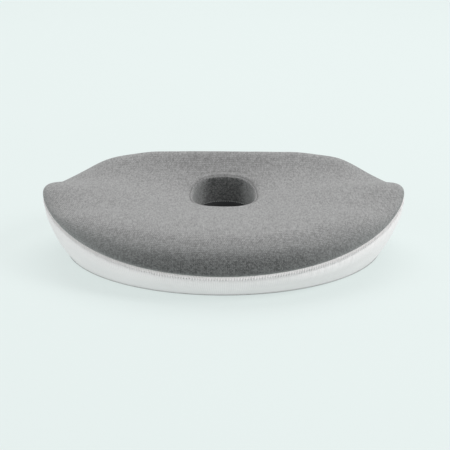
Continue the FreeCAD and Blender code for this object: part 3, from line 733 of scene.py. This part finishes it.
def knit_stitches(g, across, down, wale, course):
    """Height and fleck of plain knit: columns of small V stitches."""
    u = g.math("DIVIDE", across, wale)
    off = g.math("ABSOLUTE", g.math("SUBTRACT", g.math("FRACT", u), 0.5))
    v = g.math("ADD", g.math("DIVIDE", down, course), g.math("MULTIPLY", off, 1.3))
    loop = g.math("MULTIPLY_ADD", g.math("SINE", g.math("MULTIPLY", v, TURN)), 0.5, 0.5)
    ridge = g.math("SUBTRACT", 1.0, g.math("POWER", g.math("MULTIPLY", off, 2.0), 2.0))
    height = g.math("MULTIPLY", loop, g.math("MULTIPLY_ADD", ridge, 0.6, 0.4))
    return height, g.speckle(g.join(g.math("FLOOR", u), g.math("FLOOR", v), 0.0))


def knit_painted_shade(g, x, y):
    """How much painted shade darkens the knit: where it faces the front, and in a painted shadow
    behind the hole.
    """
    # painted shade on the knit where it faces the front
    _, back, _ = g.split(g.normal)
    facing = g.math("MULTIPLY", back, -1.0)
    tone = g.math("ADD", g.ease(facing, 0.12, 0.54, 0.0, 0.13), g.ease(facing, 0.62, 1.0, 0.0, 0.42))
    # a painted shadow in a soft patch behind the hole
    behind = g.math("SUBTRACT", y, HOLE_Y + 0.064)
    painted_shadow_gap = g.math("SQRT", g.math("ADD", g.math("POWER", x, 2.0), g.math("POWER", behind, 2.0)))
    return g.math("ADD", tone, g.ease(painted_shadow_gap, 0.02, 0.09, 0.16, 0.0))


def knit_material(name, dark, light, radius, flat_top=True):
    """Heathered plain knit in mixed greys. Its wales run upright round the hole at the
    given radius, and on a flat top they run from front to back."""
    g = Graph(name, 0.95)
    x, y, z = g.split(g.place)
    high = g.math("MULTIPLY", z, 1000.0)
    height, fleck = knit_stitches(g, ring_arc(g, x, y, radius), high, 2.0, 1.6)
    if flat_top:
        wide = g.math("MULTIPLY", x, 1000.0)
        long = g.math("MULTIPLY", y, 1000.0)
        flat = knit_stitches(g, wide, long, 2.0, 4.4)
        _, _, up = g.split(g.normal)
        level = g.ease(up, 0.7, 0.92)
        height, fleck = (g.math("MULTIPLY_ADD", g.math("SUBTRACT", f, e), level, e)
                         for f, e in zip(flat, (height, fleck)))
    haze = g.noise(160.0, 3.0)
    fibre = g.noise(1400.0, 2.0)
    slub = g.noise(560.0, 2.0, g.join(x, g.math("MULTIPLY", y, 0.33), g.math("MULTIPLY", z, 1.4)))
    slub = g.ease(slub, 0.36, 0.64)
    mix = g.math("MULTIPLY_ADD", fleck, 0.26, g.math("MULTIPLY", haze, 0.12))
    mix = g.math("MULTIPLY_ADD", slub, 0.30, mix)
    mix = g.math("MULTIPLY_ADD", height, 0.26, mix)
    mix = g.math("MULTIPLY_ADD", fibre, 0.10, mix)
    # the painted shade is taken off the mix, so the knit is darker where it faces the front and
    # behind the hole
    mix = g.math("MULTIPLY_ADD", g.math("SUBTRACT", mix, knit_painted_shade(g, x, y)), 0.7, 0.3)
    g.colour(g.shades(mix, (0.05, dark), (0.93, light)))
    g.bump(g.math("MULTIPLY_ADD", fibre, 0.3, height), 0.7, 0.5 * MM)
    g.sheen(0.25, 0.55, (0.85, 0.84, 0.84))
    return g.material


def white_material(name, colour):
    """Finely ribbed white cloth: ribs up and down, crossed by finer lines."""
    g = Graph(name, 0.85)
    x, y, z = g.split(g.place)
    around = ring_arc(g, x, y, 0.19)
    ribs = g.math("SINE", g.math("MULTIPLY", around, TURN / 2.3))
    lines = g.math("SINE", g.math("MULTIPLY", z, TURN / (0.9 * MM)))
    height = g.math("MULTIPLY_ADD", ribs, 0.30, g.math("MULTIPLY_ADD", lines, 0.2, 0.5))
    fibre = g.noise(1100.0, 2.0)
    soft = g.noise(22.0, 3.0)
    mix = g.math("MULTIPLY_ADD", height, 0.35, g.math("MULTIPLY", fibre, 0.35))
    mix = g.math("MULTIPLY_ADD", soft, 0.3, mix)
    low = tuple(c * 0.86 for c in colour)
    g.colour(g.shades(mix, (0.25, low), (0.72, colour)))
    g.bump(g.math("MULTIPLY_ADD", fibre, 0.3, height), 0.45, 0.3 * MM)
    g.sheen(0.15, 0.5, (1.0, 1.0, 1.0))
    return g.material


def plain_weave_material(name, dark, light, pitch=0.9 * MM):
    """Plain weave that shows on every side of a piece, so it needs no unwrapping."""
    g = Graph(name, 0.9)
    x, y, z = g.split(g.place)
    scale = TURN / pitch
    a = g.math("SINE", g.math("MULTIPLY", g.math("ADD", x, z), scale))
    b = g.math("SINE", g.math("MULTIPLY", g.math("SUBTRACT", y, z), scale))
    height = g.math("MULTIPLY_ADD", g.math("MULTIPLY", a, b), 0.5, 0.5)
    fibre = g.noise(1300.0, 2.0)
    mix = g.math("MULTIPLY_ADD", height, 0.5, g.math("MULTIPLY", fibre, 0.5))
    g.colour(g.shades(mix, (0.25, dark), (0.75, light)))
    g.bump(g.math("MULTIPLY_ADD", fibre, 0.3, height), 0.5, 0.25 * MM)
    g.sheen(0.2, 0.5, (0.9, 0.9, 0.9))
    return g.material


def thread_material(name, dark, light):
    """Twisted sewing thread."""
    g = Graph(name, 0.6)
    x, y, z = g.split(g.place)
    slant = g.math("ADD", g.math("ADD", x, y), g.math("MULTIPLY", z, 1.6))
    twist = g.math("SINE", g.math("MULTIPLY", slant, TURN / (0.55 * MM)))
    fibre = g.noise(1800.0, 2.0)
    mix = g.math("MULTIPLY_ADD", twist, 0.22, g.math("MULTIPLY_ADD", fibre, 0.5, 0.25))
    g.colour(g.shades(mix, (0.2, dark), (0.8, light)))
    g.bump(twist, 0.4, 0.1 * MM)
    g.sheen(0.2, 0.4, (1.0, 1.0, 1.0))
    return g.material


def rubber_material(name, colour):
    """Dark silicone, lighter where it is worn, with a fine grain."""
    g = Graph(name, 0.28)
    grain = g.noise(900.0, 3.0)
    wear = g.noise(60.0, 3.0)
    light = tuple(c * 1.7 for c in colour)
    g.colour(g.shades(wear, (0.3, colour), (0.75, light)))
    g.bump(grain, 0.25, 0.08 * MM)
    return g.material


def nylon_material(name, colour):
    """Glossy nylon coil."""
    g = Graph(name, 0.32)
    grain = g.noise(700.0, 2.0)
    low = tuple(c * 0.88 for c in colour)
    g.colour(g.shades(grain, (0.3, low), (0.7, colour)))
    g.bump(grain, 0.1, 0.05 * MM)
    return g.material


def metal_material(name, colour):
    """Plated die-cast metal, lightly brushed along the zip and rubbed at random."""
    g = Graph(name, 0.3, 1.0)
    x, y, z = g.split(g.place)
    brushed = g.noise(60.0, 4.0, g.join(g.math("MULTIPLY", x, 2.0),
                                        g.math("MULTIPLY", y, 60.0),
                                        g.math("MULTIPLY", z, 60.0)))
    rubbed = g.noise(240.0, 4.0)
    low = tuple(c * 0.75 for c in colour)
    g.colour(g.shades(rubbed, (0.3, low), (0.7, colour)))
    g.link(g.ease(brushed, 0.3, 0.7, 0.22, 0.42), g.shader.inputs["Roughness"])
    g.bump(brushed, 0.12, 0.05 * MM)
    return g.material


def foam_material(name, colour):
    """Open-cell foam."""
    g = Graph(name, 0.95)
    cells = g.noise(900.0, 4.0)
    low = tuple(c * 0.8 for c in colour)
    g.colour(g.shades(cells, (0.35, low), (0.65, colour)))
    g.bump(cells, 0.6, 0.4 * MM)
    return g.material


KNIT = knit_material("grey_knit", (0.041, 0.0405, 0.0405), (0.357, 0.354, 0.354), 0.2)
# the same grey knit as the top, made a little lighter: painted light on the wall of the hole
LIGHTENED_SLEEVE_KNIT = knit_material("hole_knit_painted_light", (0.042, 0.042, 0.042), (0.390, 0.387, 0.387), 0.045,
                            flat_top=False)
WHITE = white_material("white_cloth", (0.92, 0.875, 0.88))
DARK = plain_weave_material("dark_cloth", (0.012, 0.012, 0.013), (0.05, 0.05, 0.052))
BASE = plain_weave_material("base_cloth", (0.035, 0.035, 0.036), (0.11, 0.11, 0.112), 1.6 * MM)
LINER = plain_weave_material("liner_cloth", (0.60, 0.60, 0.59), (0.82, 0.82, 0.80), 1.1 * MM)
TAPE = plain_weave_material("zip_cloth", (0.55, 0.55, 0.54), (0.80, 0.80, 0.78), 0.7 * MM)
GREY_THREAD = thread_material("grey_thread", (0.14, 0.14, 0.14), (0.34, 0.34, 0.34))
LIGHT_THREAD = thread_material("light_thread", (0.30, 0.30, 0.30), (0.58, 0.58, 0.57))
WHITE_THREAD = thread_material("white_thread", (0.55, 0.55, 0.54), (0.86, 0.86, 0.84))
DOT = rubber_material("silicone", (0.011, 0.011, 0.012))
NYLON = nylon_material("nylon", (0.78, 0.78, 0.76))
METAL = metal_material("plated_metal", (0.60, 0.60, 0.61))
FOAM = foam_material("memory_foam", (0.86, 0.83, 0.72))


# ------------------------------------------------------------- pieces


def dress(piece, material):
    """Gives a piece its material and its body."""
    piece.data.materials.append(material)
    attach(piece, "cushion")


def finish_piece(piece, material, node):
    """Dresses a piece that stands for a CAD node."""
    dress(piece, material)
    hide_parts(node)


CLOTH = 1.3 * MM
TOP_ROWS = 84
WALL_ROWS = 40
SLEEVE_HIGH_ROWS = 20
SLEEVE_LOW_ROWS = 24
SLEEVE_FOOT = 1.7 * MM
top = top_grid(TOP_ROWS)
wall = wall_grid(WALL_ROWS)
for join in (0, BACK_COUNT):
    wall[:, join] = (wall[:, join - 1] + wall[:, join + 1]) / 2
sleeve_high = sleeve_grid(SLEEVE, top[0], SLEEVE_HIGH_ROWS)
sleeve_high[:, :, 2] += (np.linspace(0, 1, SLEEVE_HIGH_ROWS) ** 1.5)[:, None] * RIM_LIFT
top = lifted_rim(top)
low_ring = SLEEVE.copy()
low_ring[:, 2] = SLEEVE_FOOT
sleeve_low = sleeve_grid(low_ring, SLEEVE, SLEEVE_LOW_ROWS)

skin = pad_surface(top, wall, sleeve_low, sleeve_high)
padding = swell(skin, [CREASE, RIM, wall[-1]])
top = swollen(top, padding)
wall = swollen(wall, padding)

inner_top, inner_wall = top, wall


def pinched(grid):
    """The wall drawn in a little at the two seams beside the back panel."""
    column = np.arange(COLUMNS)
    gap = np.minimum.reduce([np.abs(column - BACK_COUNT), column, COLUMNS - column]) * COLUMN_STEP
    return grid - grid_normals(grid) * (bell(gap, 0, 1.6 * MM) * 0.3 * MM)[None, :, None]


top = relief_top(top)
wall = pinched(relief_wall(wall))


def turned_under(grid):
    """The wall with two more rows that turn under the base."""
    first, second = grid[-1] - OUT * 0.5 * MM, grid[-1] - OUT * 1.9 * MM
    first[:, 2] = 0.7 * MM
    second[:, 2] = 0.3 * MM
    return np.concatenate([grid, [first, second]])


def part_of(grid, first, last):
    """Columns first to last of a ring grid."""
    return grid[:, np.arange(first, last + 1) % COLUMNS]


def rows_between(raw, shown, high, low, count):
    """Rows of the shown grid between two heights of the raw grid, or up to its edge."""
    lines = []
    for j in range(shown.shape[1]):
        z = raw[::-1, j, 2]
        place = np.arange(len(z))[::-1]
        start = np.interp(high, z, place) if high is not None else 0.0
        stop = np.interp(low, z, place) if low is not None else len(z) - 1.0
        at = np.linspace(start, stop, count)
        lines.append(np.stack([np.interp(at, np.arange(len(z)), shown[:, j, k])
                               for k in range(3)], 1))
    return np.array(lines).transpose(1, 0, 2)


def folded(grid, edge_row, depth=0.9 * MM, reach=4):
    """Turns the last rows at one edge under, like a folded and stitched hem."""
    grid = grid.copy()
    normal = grid_normals(grid, closed=False)
    rows = range(reach) if edge_row == 0 else range(-1, -reach - 1, -1)
    for step, row in enumerate(rows):
        grid[row] -= normal[row] * depth * (1 - math.sin((step + 1) / (reach + 1) * math.pi / 2))
    return grid


# the knit top and the wall of the hole
finish_piece(cloth_object("knit_top", top, CLOTH), KNIT, "top_panel")
finish_piece(cloth_object("hole_wall_upper", sleeve_high[::-1], CLOTH), LIGHTENED_SLEEVE_KNIT,
             "hole_sleeve_upper")
finish_piece(cloth_object("hole_wall_lower", sleeve_low[::-1], CLOTH), DARK, "hole_sleeve_lower")

# the white wall
band = part_of(turned_under(wall), BACK_COUNT, COLUMNS)
finish_piece(cloth_object("side_wall", band, CLOTH, closed=False), WHITE, "side_band")
back_raw = part_of(inner_wall, 0, BACK_COUNT)
back = part_of(wall, 0, BACK_COUNT)
window_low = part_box("back_strip_lower")[1][2]
window_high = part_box("back_strip_upper")[0][2]
strip_upper = rows_between(back_raw, back, None, window_high + 0.4 * MM, 14)
strip_lower = rows_between(back_raw, back, window_low - 0.4 * MM, None, 22)
strip_lower = np.concatenate([strip_lower, part_of(turned_under(wall), 0, BACK_COUNT)[-2:]])
finish_piece(cloth_object("back_wall_upper", folded(strip_upper, -1), CLOTH, closed=False),
             WHITE, "back_strip_upper")
finish_piece(cloth_object("back_wall_lower", folded(strip_lower, 0), CLOTH, closed=False),
             WHITE, "back_strip_lower")

# the underside
BASE_LEVEL = 0.45 * MM


def base_grid(rows):
    """Rows from the wall's foot in to the hole, nearly flat."""
    outer, inner = wall[-1] - OUT * 2.3 * MM, sleeve_low[0].copy()
    inner = inner + (inner - [HOLE_X, HOLE_Y, 0]) * [0.01, 0.01, 0]
    lines = []
    for share in np.linspace(0, 1, rows):
        ring = outer + (inner - outer) * share
        ring[:, 2] = BASE_LEVEL
        lines.append(ring)
    grid = np.array(lines)
    soft = np.clip(waves(grid, 0.03, 6), 0, 1) * 0.5 * MM
    grid[1:-1, :, 2] += soft[1:-1]
    return grid


base = base_grid(60)
finish_piece(cloth_object("underside", base, 0.9 * MM), BASE, "base_panel")


def dot_centres(apart=8 * MM):
    """Middle of every dot of the CAD's grip dots."""
    points = node_points("grip_dots")[:, :2]
    centres = []
    while len(points):
        near = np.hypot(*(points - points[0]).T) < apart
        centres.append((points[near].min(0) + points[near].max(0)) / 2)
        points = points[~near]
    return centres


def dome(centre, radius, height, sides=24, rings=6):
    """Points and faces of one dot, with its rounded side down."""
    points = [(*centre, 0.0)]
    for i in range(1, rings + 1):
        t = i / rings
        z = height * (1 - math.sqrt(1 - 0.9 * t * t)) / (1 - math.sqrt(0.1))
        for k in range(sides):
            a = TURN * k / sides
            points.append((centre[0] + radius * t * math.cos(a),
                           centre[1] + radius * t * math.sin(a), z))
    points.append((*centre, height))
    faces = []
    for k in range(sides):
        m = (k + 1) % sides
        faces.append([0, 1 + m, 1 + k])
        for i in range(rings - 1):
            a = 1 + i * sides
            faces.append([a + k, a + m, a + sides + m, a + sides + k])
        a = 1 + (rings - 1) * sides
        faces.append([a + k, a + m, 1 + rings * sides])
    return points, faces


def grip_dots():
    """Low silicone domes under the base, each a slightly different size."""
    points, faces = [], []
    for n, centre in enumerate(dot_centres()):
        uneven = noise.noise(Vector((n * 1.7, 0.3, 0.8)))
        spots, sides = dome(centre, 3.4 * MM * (1 + 0.03 * uneven), BASE_LEVEL * 1.6)
        faces += [[len(points) + i for i in face] for face in sides]
        points += spots
    return mesh_object("grip_spots", points, faces)


finish_piece(grip_dots(), DOT, "grip_dots")

# foam and its thin liner
LINER_CLOTH = 0.5 * MM
LINER_FOOT = 1.7 * MM
FOAM_GAP = 3.0 * MM
FOAM_FOOT = 2.8 * MM
section = np.concatenate([inner_top[2:-1], inner_wall[1:-1]])


def inset(grid, gap):
    """A grid of the outside moved inwards."""
    return grid - grid_normals(grid) * gap


def from_hole(grid, gap):
    """A grid of the hole's wall moved away from the middle of the hole."""
    radial = grid - [HOLE_X, HOLE_Y, 0]
    radial[:, :, 2] = 0
    radial /= np.linalg.norm(radial, axis=2)[:, :, None]
    return grid + radial * gap


def foam_piece():
    """Closed ring of foam just inside its liner."""
    inner = from_hole(np.concatenate([sleeve_low[1:], sleeve_high[1:-1]]), FOAM_GAP)
    grid = np.concatenate([inner, inset(section, FOAM_GAP)])
    grid[:, :, 2] = np.maximum(grid[:, :, 2], FOAM_FOOT)
    grid[0, :, 2] = grid[-1, :, 2] = FOAM_FOOT
    rows, columns = grid.shape[:2]
    faces = quads(rows, columns, True) + joining_faces(rows, columns)
    return mesh_object("foam_pad", grid.reshape(-1, 3), faces)


finish_piece(foam_piece(), FOAM, "foam_core")
finish_piece(cloth_object("liner_upper", inset(section, 2.0 * MM), LINER_CLOTH), LINER, "liner_top")
sleeve = from_hole(np.concatenate([sleeve_low[2:], sleeve_high[1:-2]]), 1.8 * MM)
finish_piece(cloth_object("liner_hole", sleeve[::-1], LINER_CLOTH), LINER, "liner_sleeve")
floor_rows = base[2:-2].copy()
floor_rows[:, :, 2] = LINER_FOOT
finish_piece(cloth_object("liner_floor", floor_rows, LINER_CLOTH), LINER, "liner_base")


# ------------------------------------------------------------- sewing

# where the knit meets the white wall
stitches = stitch_row("top_seam_stitches", CREASE, OUT, 2.6 * MM, 0.8, 0.3 * MM)
finish_piece(stitches, WHITE_THREAD, "top_seam")
stitches = stitch_row("wall_topstitches", row_at(wall, STITCH_DROP), normals_at(wall, STITCH_DROP),
                      3.4 * MM, 0.78, 0.34 * MM)
finish_piece(stitches, WHITE_THREAD, "band_topstitch")
gathers = gather_row("seam_gathers", wall, 3.1 * MM, 0.6 * MM, 7.0 * MM, 0.95 * MM)
dress(gathers, WHITE)

# round the base
foot = wall[-1].copy()
foot[:, 2] = 1.0 * MM
down = OUT * 0.5 + np.array([0.0, 0.0, -0.2])
stitches = stitch_row("base_seam_stitches", foot, down, 2.4 * MM, 0.85, 0.35 * MM)
finish_piece(stitches, LIGHT_THREAD, "base_seam")

# round the rim of the hole, and inside it
to_middle = np.array([HOLE_X, HOLE_Y, 0]) - SLEEVE
to_middle[:, 2] = 0
to_middle /= np.linalg.norm(to_middle, axis=1)[:, None]
rim_line = top[0] + [0, 0, 0.2 * MM]
stitches = stitch_row("rim_seam_stitches", rim_line, to_middle + [0, 0, 0.6], 1.9 * MM, 0.92,
                      0.36 * MM)
finish_piece(stitches, GREY_THREAD, "rim_seam")
stitches = stitch_row("hole_hem_stitches", SLEEVE, to_middle, 2.4 * MM, 0.85, 0.5 * MM)
finish_piece(stitches, LIGHT_THREAD, "sleeve_seam")


# ------------------------------------------------------------- the zip

JOINTS = {joint["name"]: joint for joint in frame["record"]["behaviour"]["joints"]}
ZIP_UP = -np.array(JOINTS["puller_hinge"]["axis"], dtype=float)
ZIP_UP /= np.linalg.norm(ZIP_UP)
ZIP_X = np.array([-1.0, 0.0, 0.0])
ZIP_OUT = np.cross(ZIP_X, ZIP_UP)
ZIP_MID = (np.array(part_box("zip_tape_lower")[0]) + np.array(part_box("zip_tape_upper")[1])) / 2
TAPE_END = 94.8 * MM
TAB_START = 84.3 * MM
TAB_EDGE = 6.8 * MM


def zip_spots(local):
    """World places of points given along, up and out from the zip's middle."""
    local = np.asarray(local)
    return (ZIP_MID + local[..., :1] * ZIP_X + local[..., 1:2] * ZIP_UP
            + local[..., 2:] * ZIP_OUT)


def tape(name, side):
    """Woven tape with a fine ridge along it and a ripple beside the coil."""
    along = np.linspace(-TAPE_END, TAPE_END, 260)
    across = np.linspace(3.15 * MM, 6.95 * MM, 20)
    x, y = np.meshgrid(along, across)
    ridge = bell(y, 5.2 * MM, 0.25 * MM) * 0.12 * MM
    ripple = 0.06 * MM * np.sin(x / (1.4 * MM)) * bell(y, 3.6 * MM, 0.5 * MM)
    z = 0.28 * MM + ridge + ripple
    local = np.stack([x, y * side, z], 2)
    if side > 0:
        local = local[::-1]
    return cloth_object(name, zip_spots(local), 0.55 * MM, closed=False)


def coil(name, side, shift, pitch=2.0 * MM, turns=80, steps=12):
    """One side of the nylon coil as a flattened spiral."""
    t = np.arange(turns * steps + 1) / steps
    x = -80.2 * MM + t * pitch + shift * pitch
    y = side * (1.75 * MM + 1.1 * MM * np.cos(TURN * t))
    z = 0.78 * MM * np.sin(TURN * t)
    return tube(name, zip_spots(np.stack([x, y, z], 1)), 0.38 * MM)


finish_piece(tape("tape_upper", 1), TAPE, "zip_tape_upper")
finish_piece(tape("tape_lower", -1), TAPE, "zip_tape_lower")
finish_piece(coil("coil_upper", 1, 0.0), NYLON, "zip_coil_upper")
finish_piece(coil("coil_lower", -1, 0.5), NYLON, "zip_coil_lower")


def end_tabs():
    """Folded cloth tabs over both ends of the zip."""
    points, faces = [], []
    for side in (1, -1):
        along = np.linspace(TAB_START, TAPE_END, 16)
        across = np.linspace(-TAB_EDGE, TAB_EDGE, 20)
        x, y = np.meshgrid(along * side, across)
        edge = np.minimum.reduce([np.abs(x) - TAB_START, TAPE_END - np.abs(x) + 1 * MM,
                                  TAB_EDGE - np.abs(y)])
        z = 1.05 * MM + 0.35 * MM * np.sqrt(np.clip(edge / (1.2 * MM), 0, 1))
        local = np.stack([x, y, z], 2)
        if side < 0:
            local = local[:, ::-1]
        outer = zip_spots(local)[::-1]
        count = len(points)
        piece = cloth_object("tab", outer, 0.6 * MM, closed=False)
        points += [v.co.copy() for v in piece.data.vertices]
        faces += [[count + i for i in p.vertices] for p in piece.data.polygons]
        bpy.data.objects.remove(piece)
    return mesh_object("zip_tabs", points, faces)


finish_piece(end_tabs(), WHITE, "zip_end_tabs")

# the metal pieces are the CAD's own, with softened edges
for name in ("zip_bottom_stop", "zip_top_stops", "zip_slider", "zip_puller"):
    node = frame["nodes"][name]
    node.data.materials.clear()
    node.data.materials.append(METAL)
    bevel = node.modifiers.new("rounded_edges", "BEVEL")
    bevel.width = 0.22 * MM
    bevel.segments = 3
    bevel.limit_method = "ANGLE"


# ------------------------------------------------------------- floor, light, camera

def stage_floor(reach=5.0, curve=1.2, height=3.0, sides=96):
    """Plain pale floor that curves up all round, far from the object. It glows a little,
    so that shadows on it stay faint."""
    profile = [(0.1, 0.0), (reach, 0.0)]
    profile += [(reach + curve * math.sin(a), curve - curve * math.cos(a))
                for a in np.linspace(0, math.pi / 2, 16)[1:]]
    profile += [(reach + curve, height)]
    turn = np.arange(sides) * TURN / sides
    points = [(r * math.cos(a), r * math.sin(a), z - 0.4 * MM) for r, z in profile for a in turn]
    faces = quads(len(profile), sides, True)
    faces.append(list(range(sides)))
    floor = mesh_object("floor", points, faces)
    g = Graph("pale_floor", 0.9)
    tone = g.noise(0.7, 2.0)
    g.colour(g.shades(tone, (0.3, (0.20, 0.219, 0.216)), (0.7, (0.205, 0.224, 0.221))))
    g.shader.inputs["Emission Color"].default_value = (0.80, 0.88, 0.865, 1.0)
    g.shader.inputs["Emission Strength"].default_value = 0.66
    floor.data.materials.append(g.material)


def area_light(name, place, target, size, power):
    """A square soft light aimed at a target."""
    data = bpy.data.lights.new(name, "AREA")
    data.size = size
    data.energy = power
    lamp = bpy.data.objects.new(name, data)
    lamp.location = place
    lamp.rotation_euler = (Vector(target) - Vector(place)).to_track_quat("-Z", "Y").to_euler()
    bpy.context.scene.collection.objects.link(lamp)


def stage_camera():
    """Long lens, 17 degrees above the floor and straight in front."""
    tilt = math.radians(17)
    distance = 1.5
    zoom = 2.71244
    lowered = 9.094 * MM
    aim = Vector((1.7 * MM, 0.0, 50 * MM))
    aim = aim - Vector((0, math.sin(tilt), math.cos(tilt))) * lowered
    data = bpy.data.cameras.new("camera")
    data.sensor_width = 36.0
    data.lens = data.sensor_width * zoom
    data.clip_start = 0.05
    camera = bpy.data.objects.new("camera", data)
    camera.location = aim + Vector((0, -math.cos(tilt), math.sin(tilt))) * distance
    camera.rotation_euler = (math.radians(90) - tilt, 0, 0)
    bpy.context.scene.collection.objects.link(camera)
    bpy.context.scene.camera = camera


stage_floor()
area_light("overhead", (0.2, 2.4, 4.2), (0, 0.3, 0), 4.0, 125)
area_light("right", (2.4, -0.7, 2.0), (0, 0, 0.05), 1.2, 34)
area_light("left", (-2.6, -1.0, 1.0), (0, 0, 0.05), 1.6, 9)
world = bpy.data.worlds.new("studio")
world.use_nodes = True
world.node_tree.nodes["Background"].inputs["Color"].default_value = (0.99, 0.98, 0.98, 1.0)
world.node_tree.nodes["Background"].inputs["Strength"].default_value = 0.60
bpy.context.scene.world = world
bpy.context.scene.view_settings.view_transform = "Standard"
stage_camera()
